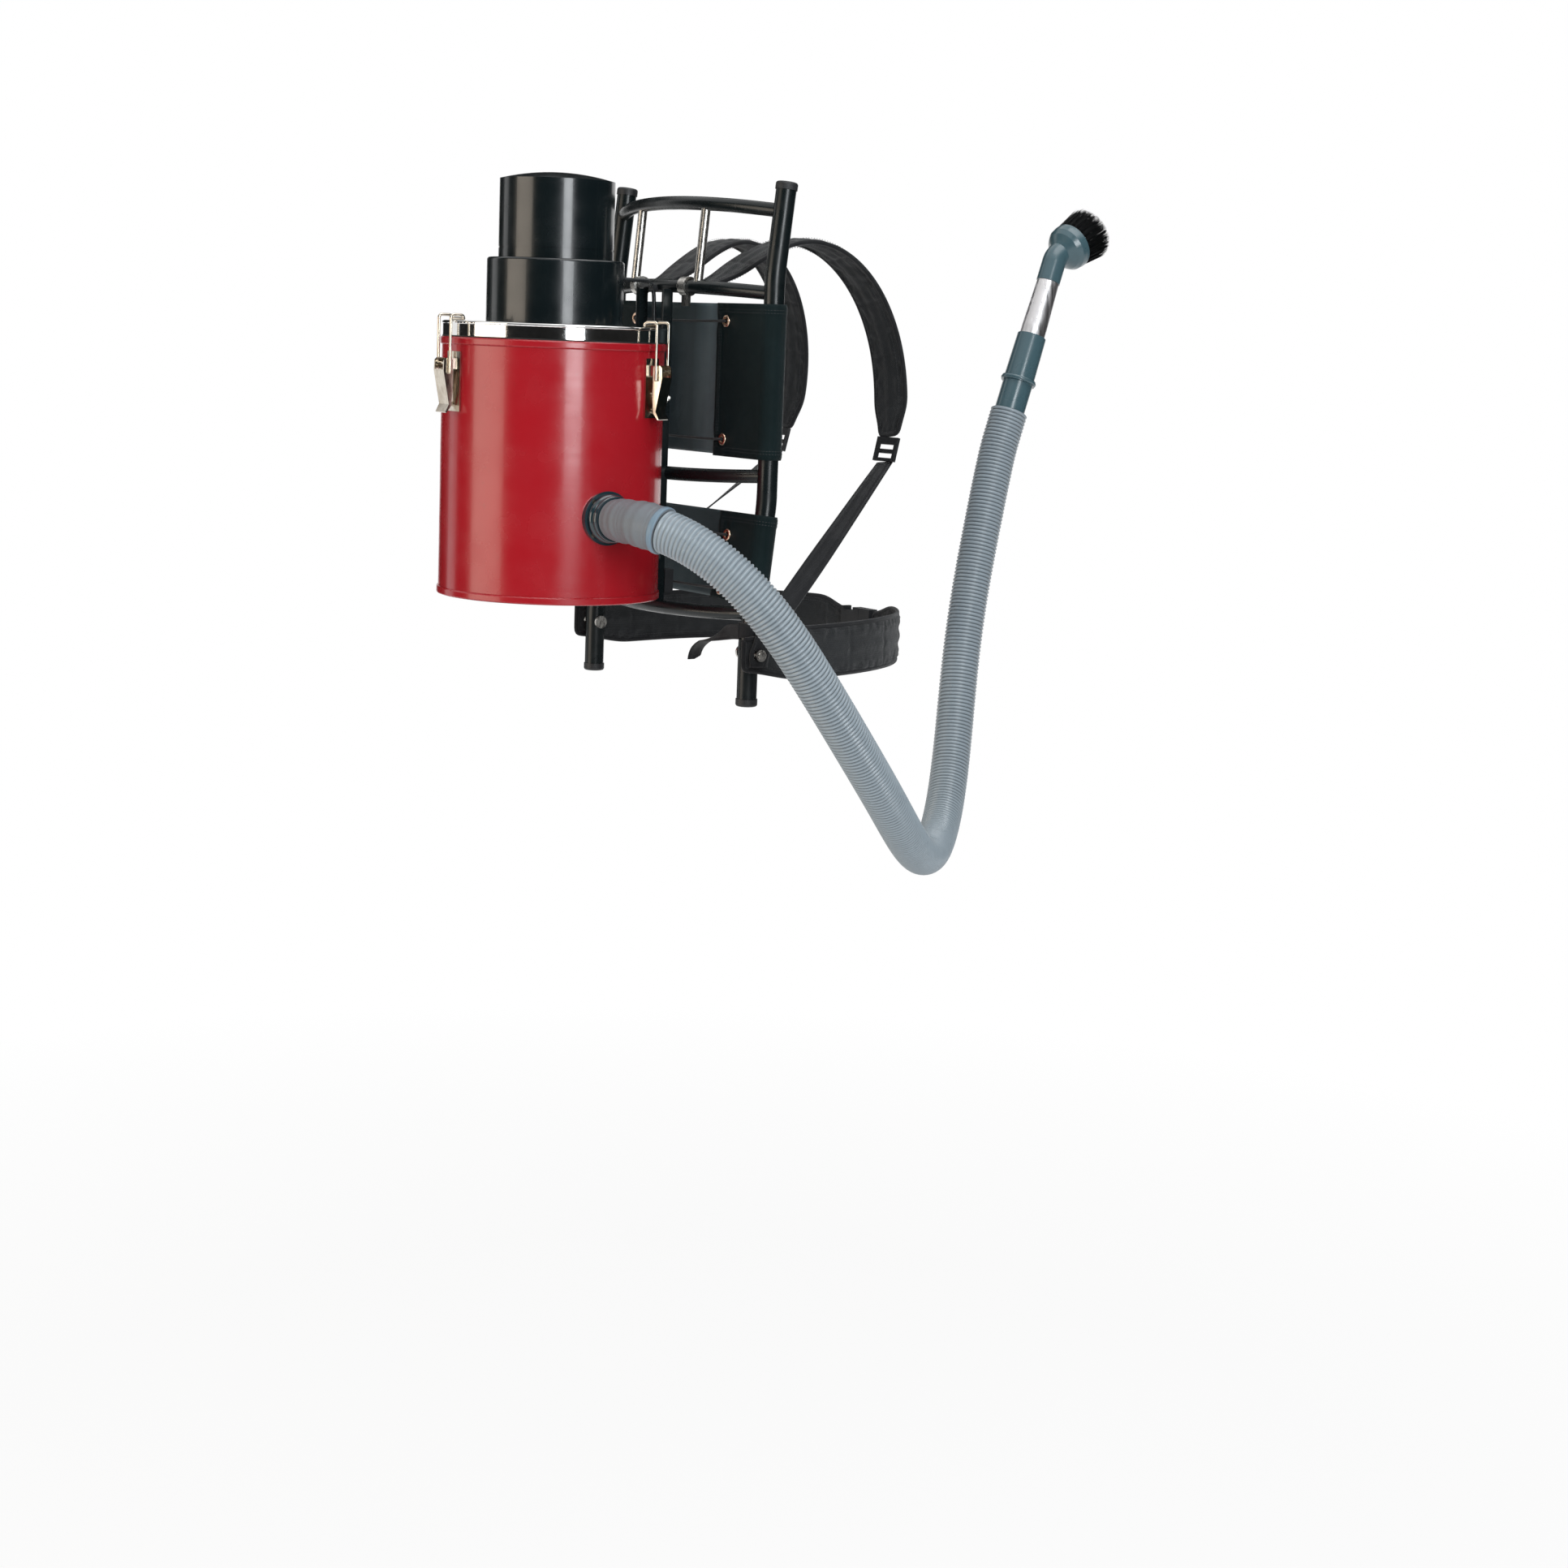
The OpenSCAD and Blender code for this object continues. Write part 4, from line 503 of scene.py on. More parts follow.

# The lining's pale bluish colour is partly its coating's own and partly painted sheen.
lining = Finish("band_lining", (0.05, 0.076, 0.086), 0.38, 0.0, Specular_IOR_Level=0.3)
spot = lining.node("ShaderNodeSeparateXYZ", Vector=lining.where())
from_sheen_patch = lining.maths("ABSOLUTE", lining.maths("SUBTRACT", spot.outputs[0], sheen_patch_x))
on_painted_sheen = lining.spread(from_sheen_patch, sheen_patch_edge, sheen_patch_core)
on_upper_band = lining.spread(spot.outputs[2], lower_band_z, upper_band_z)
lining.tint(lining.maths("MULTIPLY", on_painted_sheen, on_upper_band), (0.25, 0.335, 0.37))
lining.tint(lining.spread(lining.noise(14, 5, rough=0.6), 0.4, 0.75, 0, 0.35), (0.04, 0.06, 0.07))
weave(lining, 0.0016, 0.00012)
print("lining ready")

# %% Webbing, thread and lace finishes
tape = slot_finish(
    "webbing", (0.012, 0.013, 0.015), 0.62,
    Specular_IOR_Level=0.2, Sheen_Weight=0.2, Sheen_Roughness=0.4,
)  # fmt: skip
across_tape, along_tape = tape.on_cloth()
zigzag = tape.maths("PINGPONG", across_tape, 0.003)
slant = tape.maths("MULTIPLY", tape.maths("ADD", along_tape, zigzag), 2 * math.pi / 0.0016)
threads = tape.maths("SINE", slant)
tape.relief(threads, 0.00012)
# painted shade in the troughs between the webbing's threads
tape.tint(tape.spread(threads, 0.2, -0.8, 0, 0.7), (0.006, 0.006, 0.007))
tape.tint(tape.spread(tape.noise(40, 5), 0.5, 0.8, 0, 0.6), (0.03, 0.03, 0.032))

thread = Finish("thread", (0.03, 0.032, 0.035), 0.5, 0.0, Specular_IOR_Level=0.3, Sheen_Weight=0.2)
thread.relief(thread.noise(3000, 2), 0.0001)

lace_cover = Finish("lace_cover", (0.008, 0.009, 0.010), 0.55, 0.0, Specular_IOR_Level=0.3, Sheen_Weight=0.2)
weave(lace_cover, 0.0014, 0.0003)
print("cloth finishes:", len(finishes))

# %% [markdown]
# ## Dress the frame's own parts
# The record names a material slot for each part. Handing each part the finish of its slot keeps
# the two in step: change a finish once and every part that wears it follows.

# %% Finishes onto the frame nodes
slot_of = {part["node"]: part["material_slot"] for part in frame["record"]["subparts"]}
for name, node in nodes.items():
    if not node.material_slots:
        node.data.materials.append(None)
    for holder in node.material_slots:
        holder.link = "OBJECT"
        holder.material = finishes[slot_of[name]]
print(len(nodes), "nodes dressed in", len({slot_of[n] for n in nodes}), "finishes")

# %% [markdown]
# ## The ribbed hose
# A vacuum hose is a wall of soft vinyl over a wire, drawn in between its turns. From outside it
# reads as a tube of close, rounded ribs with narrow grooves, about five millimetres apart. A
# displaced cylinder would smear them, so the ribs are modelled: six rings to each rib, on the
# hose's own centreline, with the bore inside it. It hangs from the canister's inlet under the
# wearer's arm and rises to the wand.

# %% Ribbed hose
hose_route = [
    (120, -206, -90), (150, -206, -90), (180, -206, -90), (212, -202, -91), (260, -178, -104),
    (302, -138, -142), (326, -90, -202), (330, -36, -274), (316, 28, -348), (288, 98, -420),
    (240, 168, -480), (180, 240, -516), (116, 308, -514), (66, 362, -466), (32, 396, -384),
    (10, 418, -292), (-4, 440, -200), (-14, 466, -104), (-25.4, 491.6, -21.4), (-26.7, 501.8, 6.8),
    (-28, 512, 35), (-29.3, 522.2, 63.2),
]  # fmt: skip
cuff_end = 84.0
joint_gap = 0.3
bore_step = 6


def hollow(name, line, outer, bore, n, lengths, **settings):
    """A tube with a bore: outer(i) is its radius at point i, bore the radius inside it."""
    ring = circle_outline(1.0, n)
    around = [ring[:, :1] * side + ring[:, 1:] * up for side, up in zip(*free_frames(line, (0, 1, 0)))]
    inside = [len(line) - 1, *reversed(range(0, len(line) - 1, bore_step))]
    rings = [line[i] + outer(i) * around[i] for i in range(len(line))]
    rings += [line[i] + bore * around[i] for i in inside]
    along = [*lengths, *(lengths[i] for i in inside)]
    faces = skin(rings, capped=False)
    last = (len(rings) - 1) * n
    faces += [(last + k, last + (k + 1) % n, (k + 1) % n, k) for k in range(n)]
    uvs = ring_uvs(faces, n, along, 2 * math.pi * outer(0))
    return new_piece(name, np.vstack(rings), faces, uvs=uvs, **settings)


rib_total = 277
rib_profile = [0.0, 0.45, 0.93, 1.0, 0.93, 0.45]
rib_rise = 0.0021
groove_r = 0.0228
hose_bore_r = 0.0193
hose_sides = 40


def hose_radius(i):
    """The outside of the wall at ring i: each rib rises between two grooves."""
    return groove_r + rib_rise * rib_profile[i % len(rib_profile)]


ring_count = len(rib_profile) * rib_total + 1
hose_line, hose_at = walk(hose_route, ring_count, cuff_end + joint_gap)
hose_length = float(hose_at[-1] - hose_at[0])
hose = hollow(
    "ribbed_hose", hose_line, hose_radius, hose_bore_r, hose_sides, hose_at,
    stands_for=["hose"], slot="hose_grey",
)  # fmt: skip
print("ribbed hose:", rib_total, "ribs,", round(hose_length, 3), "m")

# %% Painted shade in the hose's grooves
rib_pitch = hose_length / rib_total
along_hose = vinyl.on_cloth()[1]
from_groove = vinyl.maths("PINGPONG", vinyl.maths("SUBTRACT", along_hose, float(hose_at[0])), rib_pitch / 2)
# painted shade: each groove is darker, and less so near the cuff
shade = vinyl.spread(from_groove, 0.0003, 0.0013, 1, 0)
fade = vinyl.spread(along_hose, 0.09, 0.26, 0.25, 0.75)
vinyl.tint(vinyl.maths("MULTIPLY", shade, fade), (0.075, 0.09, 0.1))
print("grooves shaded every", round(rib_pitch * 1000, 2), "mm")

# %% [markdown]
# ## The hose's soft cuff
# The cuff is moulded in softer vinyl and pushed over the inlet: two shallow barrels with a crease
# between them, so that it can bend, and a pale blue ring where it grips the hose.

# %% Soft cuff
cuff_rings = 101
cuff_sides = 64
cuff_bore_r = 0.0192
first_blue_ring = 92
blue_middle, blue_half = 0.96, 0.04
blue_r, blue_rise = 0.0262, 0.0012
cuff_start_r, cuff_growth = 0.0226, 0.0032
barrel_length, barrel_rise = 0.435, 0.0017
fold_length, fold_rise = 0.145, 0.0003


def cuff_radius(i):
    """Two shallow barrels with fine folds, then the blue ring with its rounded edges."""
    f = i / (cuff_rings - 1)
    if i > first_blue_ring:
        edge = (f - blue_middle) / blue_half
        return blue_r + blue_rise * math.sqrt(max(0.0, 1 - edge**4))
    barrel = abs(math.sin(math.pi * f / barrel_length))
    fold = fold_rise * math.cos(2 * math.pi * f / fold_length)
    return cuff_start_r + cuff_growth * f + barrel_rise * barrel**0.5 + fold


cuff_line, cuff_at = walk(hose_route, cuff_rings, joint_gap, cuff_end)
cuff = hollow(
    "soft_cuff", cuff_line, cuff_radius, cuff_bore_r, cuff_sides, cuff_at,
    stands_for=["hose_cuff"], slot="cuff_grey",
)  # fmt: skip
cuff.data.materials.append(ring_blue.material)
for face in cuff.data.polygons:
    blue = first_blue_ring * cuff_sides <= min(face.vertices)
    outside = max(face.vertices) < cuff_rings * cuff_sides
    face.material_index = int(blue and outside)
print("soft cuff:", len(cuff.data.polygons), "faces")

# %% [markdown]
# The wand's four parts hang on the hose's far end.

print("hose and cuff built")

# %% [markdown]
# ## The motor's lead
# The lead is a plain round cord held at both ends: it leaves the gland on the motor housing, drops
# behind the crossbars in its clips, and enters the inlet box. Sixteen sides are enough, because a
# smooth shade hides them.

# %% Motor lead
lead_r = 0.0025
lead_sides, lead_points = 16, 140
lead_route = [
    (0, -146, 182), (0, -128, 182), (0, -110, 182), (0, -92, 182), (0, -76, 183), (0, -69.6, 171),
    (0.6, -70, 150), (2, -68, 110), (5, -65, 60), (8, -66, 10), (11.5, -71, -26), (12, -72.2, -45),
    (12, -71, -64), (12, -66, -92), (11, -60, -120), (10, -56.5, -140), (10, -56.5, -160),
    (10, -56.5, -178),
]  # fmt: skip
lead_line, lead_at = walk(lead_route, lead_points)
lead_frames = free_frames(lead_line, (1, 0, 0))
lead_outline = circle_outline(lead_r, lead_sides)
swept(
    "motor_lead", lead_line, *lead_frames, lead_outline, lead_at,
    stands_for=["lead"], slot="lead_sheath",
)  # fmt: skip
print("motor lead:", round(float(lead_at[-1]), 3), "m")

# %% [markdown]
# ## Stitches
# Thread is what tells the eye that a strap is sewn. Each stitch is a tiny spindle that dives into
# the cloth at both ends; rows of them follow a line of points with the cloth's normals.

# %% Stitch helper
stitch_pitch = 0.0036
stitch_length = 0.0026
first_stitch = 0.3  # of a pitch, from the seam's start
thread_r = 0.00038
stitch_dive, stitch_crown = 0.4, 0.55  # of the thread's radius
thread_turns = (0.0, 1.05, 2.1, 3.14, 4.2, 5.2)


def stitches(name, rows):
    """Sews rows of stitches; a row is (points, normals) along the seam, in metres."""
    points, faces = [], []
    n = len(thread_turns)
    for line, normals in rows:
        run = run_along(line)
        for start in np.arange(stitch_pitch * first_stitch, run[-1] - stitch_length, stitch_pitch):
            middle = start + stitch_length / 2
            entry, crown, leave = at_lengths(line, run, [start, middle, start + stitch_length])
            out = unit(at_lengths(normals, run, [middle])[0])
            aside = np.cross(unit(leave - entry), out)
            first = len(points)
            points += [end - out * thread_r * stitch_dive for end in (entry, leave)]
            for a in thread_turns:
                bulge = thread_r * (math.cos(a) * aside + math.sin(a) * out)
                points.append(crown + out * (thread_r * stitch_crown) + bulge)
            for k in range(n):
                a, b = first + 2 + k, first + 2 + (k + 1) % n
                faces += [(first, b, a), (first + 1, a, b)]
    return new_piece(name, points, faces, finish=thread)


print("stitch helper ready")

# %% [markdown]
# ## The laced back bands
# A band is one wide strip of coated cloth, wrapped round both uprights and laced across the back,
# so that it pulls tight like a drum. It is built as a grid in two directions, along the wrap and
# down the height, with an outer skin and an inner one, whose coating has a bluish shine, partly
# painted into its colour as sheen. Hems are a little thicker than the field, the front gives way
# where a back leans on it, and the flaps pucker at the eyelets. Each eyelet hole is one cell left
# out of the grid, whose corners are pushed out to a ring. The sizes come first, then the wrap as
# seen from above.

# %% The wrap of a band
tube_lean = math.radians(6.5)
axis_gap = 0.175
wrap_r = 0.01405
cell = 0.0035
turn_stations, front_stations = 15, 101


def round_upright(centre, start, end):
    """Where the cloth goes round an upright: x, y and the outward direction at each station."""
    angles = np.linspace(start, end, turn_stations)
    return [(centre + wrap_r * math.cos(a), wrap_r * math.sin(a), math.cos(a), math.sin(a)) for a in angles]


def band_path(flap_edge):
    """Points and outward directions along the wrap, from the left flap to the right one."""
    flap = np.arange(flap_edge, axis_gap, cell)
    stations = [(-x, -wrap_r, 0, -1) for x in flap]
    stations += round_upright(-axis_gap, -math.pi / 2, -3 * math.pi / 2)
    front = np.linspace(-axis_gap, axis_gap, front_stations)[1:-1]
    stations += [(x, wrap_r, 0, 1) for x in front]
    stations += round_upright(axis_gap, math.pi / 2, -math.pi / 2)
    stations += [(x, -wrap_r, 0, -1) for x in reversed(flap)]
    stations = np.array(stations, float)
    return stations[:, :2], stations[:, 2:]


def leaned(x, y, z, lean, origin):
    """Tips a point of a band's own space back by the lean, and moves it to its place."""
    return (
        x + origin[0],
        y * math.cos(lean) + z * math.sin(lean) + origin[1],
        -y * math.sin(lean) + z * math.cos(lean) + origin[2],
    )


def smooth(x):
    """0 below 0 and 1 above 1, with a soft ramp between."""
    x = np.clip(x, 0, 1)
    return x * x * (3 - 2 * x)


print("band path:", len(band_path(0.08)[0]), "stations")

# %% [markdown]
# The grid keeps where each of its points lies on the flat cloth: x0 across the back, s along the
# wrap and h down the height. Each method adds one thing that real cloth does.

# %% The grid of a band
flat_half = 0.16
eyelet_inset = 0.021
eyelet_r, eyelet_reach = 0.0052, 0.013
sag_depth, sag_half = 0.0026, 0.158
fold_count, fold_depth = 9, 0.0007
fold_wide, fold_tall, fold_slant = (0.006, 0.014), (0.03, 0.07), 0.25
pucker_depth, pucker_r, pucker_wide = 0.00055, 0.018, 0.014
cloth_half, hem_extra, seam_sink = 0.00135, 0.0004, 0.0002
hem_seam, seam_wide, hem_edge = 0.0135, 0.0013, 0.0018


class BandGrid:
    """A band as a grid of points, and what its cloth does at each of them."""

    def __init__(self, origin, lean, height, flap_edge, drops):
        self.tip = (lean, origin)
        self.height = height
        path, outward = band_path(flap_edge)
        self.run = run_along(path)
        downs = np.linspace(0, height, int(height / cell) + 1)
        self.step = downs[1] - downs[0]
        self.s, self.h = np.meshgrid(self.run, downs, indexing="ij")
        self.x0, self.y0 = (path[:, k][:, None] + 0 * self.h for k in (0, 1))
        self.nx, self.ny = (outward[:, k][:, None] for k in (0, 1))
        self.rear = (self.ny < -0.99) & (np.abs(self.x0) < flat_half)
        self.front = (self.ny > 0.99) & (np.abs(self.x0) < flat_half)
        self.holes = [(side * (flap_edge + eyelet_inset), d) for side in (-1, 1) for d in drops]

    def opened(self):
        """x and drop of each point, after those round an eyelet have made room for it."""
        x, drop = self.x0.copy(), self.h.copy()
        for hx, hd in self.holes:
            away = np.hypot(self.x0 - hx, self.h - hd)
            near = self.rear & (away < eyelet_reach)
            grow = eyelet_r + away * (eyelet_reach - eyelet_r) / eyelet_reach
            grow = grow / np.maximum(away, 1e-6)
            x = np.where(near, hx + (self.x0 - hx) * grow, x)
            drop = np.where(near, hd + (self.h - hd) * grow, drop)
        return x, drop

    def push(self, seed):
        """How far the cloth stands off the wrap: a slack front, soft folds, puckers at eyelets."""
        x0, h, height = self.x0, self.h, self.height
        middle = smooth(h / height * 3) * smooth((height - h) / height * 3)
        across = np.clip(1 - (x0 / sag_half) ** 2, 0, 1)
        push = np.where(self.front, -sag_depth * across * middle, 0.0)
        rng = np.random.default_rng(seed)
        for _ in range(fold_count):
            ax, ah = rng.uniform(-0.15, 0.15), rng.uniform(0.15, 0.85) * height
            wide, tall = rng.uniform(*fold_wide), rng.uniform(*fold_tall)
            fold = np.exp(-(((x0 - ax) + fold_slant * (h - ah)) / wide) ** 2 - ((h - ah) / tall) ** 2)
            push += np.where(self.front, fold_depth * rng.choice([-1, 1]) * fold * across, 0.0)
        for hx, hd in self.holes:
            angle = np.arctan2(h - hd, (x0 - hx) * np.sign(hx))
            away = np.hypot(x0 - hx, h - hd)
            fan = np.cos(5 * angle) * np.exp(-((away - pucker_r) / pucker_wide) ** 2)
            push += np.where(self.rear, pucker_depth * fan, 0.0)
        return push

    def half_thickness(self):
        """The hems are thicker than the field, sunk along their seam and thin at the edge."""
        from_side = np.minimum(self.s, self.run[-1] - self.s)
        hem = np.minimum(np.minimum(self.h, self.height - self.h), from_side)
        groove = np.exp(-((hem - hem_seam) / seam_wide) ** 2)
        half = cloth_half + hem_extra * (hem < hem_seam) - seam_sink * groove
        return np.where(hem < hem_edge, half * (0.45 + 0.55 * hem / hem_edge), half)

    def skins(self, seed):
        """The points of the outer skin and of the inner one."""
        x, drop = self.opened()
        push, half = self.push(seed), self.half_thickness()
        made = []
        for side in (1, -1):
            px = x + self.nx * (push + side * half)
            py = self.y0 + self.ny * (push + side * half)
            made.append(np.stack(leaned(px, py, -drop, *self.tip), -1))
        return made


print("band grid ready")

# %% [markdown]
# Both skins then become one closed piece: quads on each, less the cell under every eyelet, with
# walls round the rim and round each hole. The hems' stitches follow rows of the same grid.

# %% The faces and seams of a band
seam_insets = (0.0055, 0.0115)


def cut_cells(grid):
    """The cell under each eyelet."""
    x, rows = grid.x0[:, 0], range(len(grid.run) - 1)
    cut = set()
    for hx, hd in grid.holes:
        spans = [k for k in rows if min(x[k], x[k + 1]) <= hx <= max(x[k], x[k + 1])]
        cut.add((max(k for k in spans if grid.rear[k, 0]), int(hd / grid.step)))
    return cut


def band_faces(grid):
    """Quads of both skins, less the cut cells, with walls round the rim and the holes; and UVs."""
    rows, cols = grid.s.shape
    total = rows * cols
    cut = cut_cells(grid)
    faces, places = [], []
    for i in range(rows - 1):
        for j in range(cols - 1):
            if (i, j) in cut:
                continue
            corners = [(i, j), (i + 1, j), (i + 1, j + 1), (i, j + 1)]
            ids = [r * cols + c for r, c in corners]
            faces += [ids, [total + k for k in reversed(ids)]]
            places += corners + corners[::-1]
    rim = [(i, 0) for i in range(rows)] + [(rows - 1, j) for j in range(1, cols)]
    rim += [(i, cols - 1) for i in range(rows - 2, -1, -1)] + [(0, j) for j in range(cols - 2, 0, -1)]
    loops = [rim] + [[(i, j), (i, j + 1), (i + 1, j + 1), (i + 1, j)] for i, j in cut]
    for loop in loops:
        for a, b in zip(loop, loop[1:] + loop[:1]):
            at_a, at_b = a[0] * cols + a[1], b[0] * cols + b[1]
            faces.append([at_b, at_a, total + at_a, total + at_b])
            places += [b, a, a, b]
    return faces, [(grid.s[p], grid.h[p]) for p in places]


def band_seams(grid, outer):
    """Two rows of stitches along each hem, as points and normals."""
    rows, cols = grid.s.shape
    flat = 0 * grid.h
    normal = np.stack(leaned(grid.nx + flat, grid.ny + flat, flat, grid.tip[0], (0, 0, 0)), -1)
    seams = []
    for inset in seam_insets:
        j, i = int(round(inset / grid.step)), int(round(inset / cell))
        seams += [(outer[:, k], normal[:, k]) for k in (j, cols - 1 - j)]
        seams += [(outer[k, 3:-3], normal[k, 3:-3]) for k in (i, rows - 1 - i)]
    return seams


print("band faces and seams ready")

# %% Back bands
def tidy_normals(bm, mesh):
    """Turns every face outwards and puts the result back into the mesh."""
    bmesh.ops.recalc_face_normals(bm, faces=bm.faces)
    bm.to_mesh(mesh)
    bm.free()


def back_band(name, node, place, seed):
    """A band of coated cloth at its place, with its hems sewn; gives the cloth and the stitches."""
    grid = BandGrid(**place)
    outer, inner = grid.skins(seed)
    faces, uvs = band_faces(grid)
    points = np.vstack([outer.reshape(-1, 3), inner.reshape(-1, 3)])
    made = new_piece(name, points, faces, stands_for=[node], slot="band_cloth", uvs=uvs)
    made.data.materials.append(lining.material)
    for face in made.data.polygons:
        face.material_index = int(min(face.vertices) >= grid.s.size)
    bm = bmesh.new()
    bm.from_mesh(made.data)
    tidy_normals(bm, made.data)
    return made, stitches(name + "_stitches", band_seams(grid, outer))


upper_place = {
    "origin": (0, -0.0158, 0.159), "lean": 0.0,
    "height": 0.179, "flap_edge": 0.080, "drops": (0.021, 0.159),
}  # fmt: skip
lower_place = {
    "origin": (0, -0.01751, -0.085), "lean": tube_lean,
    "height": 0.104, "flap_edge": 0.104, "drops": (0.028, 0.092),
}  # fmt: skip
upper_band, upper_stitches = back_band("upper_back_band", "upper_band", upper_place, 4)
lower_band, lower_stitches = back_band("lower_back_band", "lower_band", lower_place, 9)
print("bands:", len(upper_band.data.polygons), "and", len(lower_band.data.polygons), "faces")

# %% [markdown]
# ## Laces
# Each row of eyelets has its own braided lace. It comes out through one eyelet, crosses the gap
# behind the flaps, goes back in through the other, and is knotted on the inside. Seen close, it
# sags by a hair between the flaps.

# %% Laces
lace_r = 0.0015
lace_y = -0.0195
lace_sag = 0.0011
lace_sides, lace_points = 12, 24
knot_r, knot_turns, knot_points = 0.0024, 1.6, 26


def lace_line(origin, lean, half, drop):
    """A lace from end to end: out of one eyelet, across behind the flaps and in at the other."""
    entry = [
        (-half, lace_y + 0.0095, 0), (-half, lace_y + 0.004, 0),
        (-half + 0.0006, lace_y + 0.0008, 0), (-half + 0.003, lace_y, 0),
    ]  # fmt: skip
    across = np.linspace(-half + 0.008, half - 0.008, lace_points)
    flat = entry + [(x, lace_y, -lace_sag * (1 - (x / half) ** 2)) for x in across]
    flat += [(-x, y, z) for x, y, z in reversed(entry)]
    return np.array([leaned(x, y, z - drop, lean, origin) for x, y, z in flat])


def lace_piece(name, line, **settings):
    """A round cord along a line."""
    frames = free_frames(line, (0, 0, 1))
    cord = circle_outline(lace_r, lace_sides)
    return swept(name, line, *frames, cord, run_along(line), finish=lace_cover, **settings)


def knot_line(end):
    """A small figure of eight round the lace's end."""
    turns = np.linspace(0, 2 * math.pi * knot_turns, knot_points)
    x, y, z = knot_r * np.cos(turns), 0.0012 * np.sin(2 * turns) - 0.0004, knot_r * np.sin(turns)
    return end + np.stack([x, y, z], 1)


lace_count = 0
for place in (upper_place, lower_place):
    for drop in place["drops"]:
        half = place["flap_edge"] + eyelet_inset
        line = lace_line(place["origin"], place["lean"], half, drop)
        lace_count += 1
        lace_piece(f"lace_{lace_count}", line, stands_for=["lacing_cords"], slot="webbing")
        for side, end in (("left", line[0]), ("right", line[-1])):
            lace_piece(f"lace_knot_{lace_count}_{side}", knot_line(end))
print("laces:", lace_count)

# %% [markdown]
# ## A builder for straps and pads
# Straps, pads and belts are rings again, but denser, and some have a punched hole for a pin. The
# hole is one quad taken out of each face and walled, after the points round it are pushed clear of
# the pin.

# %% Strap builder
channel_half = 0.0022
punch_reach = 2.4  # how far round a hole points move, in radii


def outline_pad(width, thick, n, power=0.45, channels=(), sunk=0.0):
    """A pad's cross-section: flat in the middle, rounded at its edges, with channels sunk in both faces."""
    a = 2 * math.pi * (np.arange(n) + 0.5) / n
    x = width / 2 * np.cos(a)
    y = thick / 2 * np.sign(np.sin(a)) * np.abs(np.sin(a)) ** power
    for channel in channels:
        y *= 1 - sunk * np.exp(-(((x - channel * width) / channel_half) ** 2))
    return np.stack([x, y], 1)


def punch(piece, at, axis, radius):
    """Cuts a hole for a pin through both faces of a strap and walls it."""
    at, axis = np.asarray(at, float), unit(np.asarray(axis, float))
    bm = bmesh.new()
    bm.from_mesh(piece.data)
    reach = punch_reach * radius

    def off(p):
        d = np.array(p) - at
        return d - (d @ axis) * axis

    for v in bm.verts:
        d = off(v.co)
        r = float(np.linalg.norm(d))
        if 1e-6 < r < reach:
            v.co += Vector(d / r * (radius + r * (reach - radius) / reach - r))
    quads = [f for f in bm.faces if len(f.verts) == 4]
    near = []
    for sign in (1, -1):
        facing = [f for f in quads if f.normal.dot(Vector(axis)) * sign > 0.5]
        near.append(min(facing, key=lambda f: np.linalg.norm(np.mean([off(v.co) for v in f.verts], axis=0))))
    loops = [list(f.verts) for f in near]
    bmesh.ops.delete(bm, geom=near, context="FACES_ONLY")
    mates = [min(loops[1], key=lambda w: np.linalg.norm(off(v.co) - off(w.co))) for v in loops[0]]
    for k in range(4):
        a, b = loops[0][k], loops[0][(k + 1) % 4]
        bm.faces.new((a, b, mates[(k + 1) % 4], mates[k])).smooth = True
    tidy_normals(bm, piece.data)


print("strap builder ready")

# %% [markdown]
# ## Padded cloth
# A pad is foam in a sewn cover. Its mesh starts a little thin; Blender's cloth then blows it up
# with a pressure while its edges and its sewn channels are pinned, so that it swells between the
# seams and puckers along them. How far a point may move is capped, and the result is applied.

# %% Swelling a piece
sim_frames = 20
sim_pressure = 4.0


def coordinates(mesh):
    """The points of a mesh, one in each row."""
    flat = np.empty(3 * len(mesh.vertices))
    mesh.vertices.foreach_get("co", flat)
    return flat.reshape(-1, 3)


def add_cloth(piece):
    """The cloth modifier: a light, stiff cover under pressure, without gravity or collisions."""
    cover = piece.modifiers.new("cloth", "CLOTH")
    settings = cover.settings
    settings.quality = 4
    settings.mass = 0.15
    settings.tension_stiffness = settings.compression_stiffness = 12
    settings.shear_stiffness = 4
    settings.bending_stiffness = 0.3
    settings.use_pressure = True
    settings.uniform_pressure_force = sim_pressure
    settings.shrink_min = -0.06
    settings.vertex_group_mass = "sewn"
    settings.effector_weights.gravity = 0
    cover.collision_settings.use_collision = False
    cover.point_cache.frame_start, cover.point_cache.frame_end = 1, sim_frames
    return cover


def inflate(piece, pinned, cap):
    """Swells a piece between its pinned points by at most the cap, and applies the result."""
    start = coordinates(piece.data)
    group = piece.vertex_groups.new(name="sewn")
    group.add([int(i) for i in pinned], 1.0, "REPLACE")
    cover = add_cloth(piece)
    scene = bpy.context.scene
    for step in range(1, sim_frames + 1):
        scene.frame_set(step)
    result = piece.evaluated_get(bpy.context.evaluated_depsgraph_get()).to_mesh()
    move = coordinates(result) - start
    move *= np.minimum(1.0, cap / np.maximum(np.linalg.norm(move, axis=1, keepdims=True), 1e-9))
    piece.modifiers.remove(cover)
    piece.vertex_groups.remove(group)
    piece.data.vertices.foreach_set("co", (start + move).ravel())
    piece.data.update()
    scene.frame_set(1)
    swell_mm = float(np.linalg.norm(move, axis=1).max()) * 1000
    print(piece.name, "swelled by up to", round(swell_mm, 2), "mm")


def finer(piece):
    """Splits every face in four, smoothly."""
    step = piece.modifiers.new("finer", "SUBSURF")
    step.levels = step.render_levels = 1
    with bpy.context.temp_override(object=piece, active_object=piece, selected_objects=[piece]):
        bpy.ops.object.modifier_apply(modifier="finer")


print("swelling helpers ready")

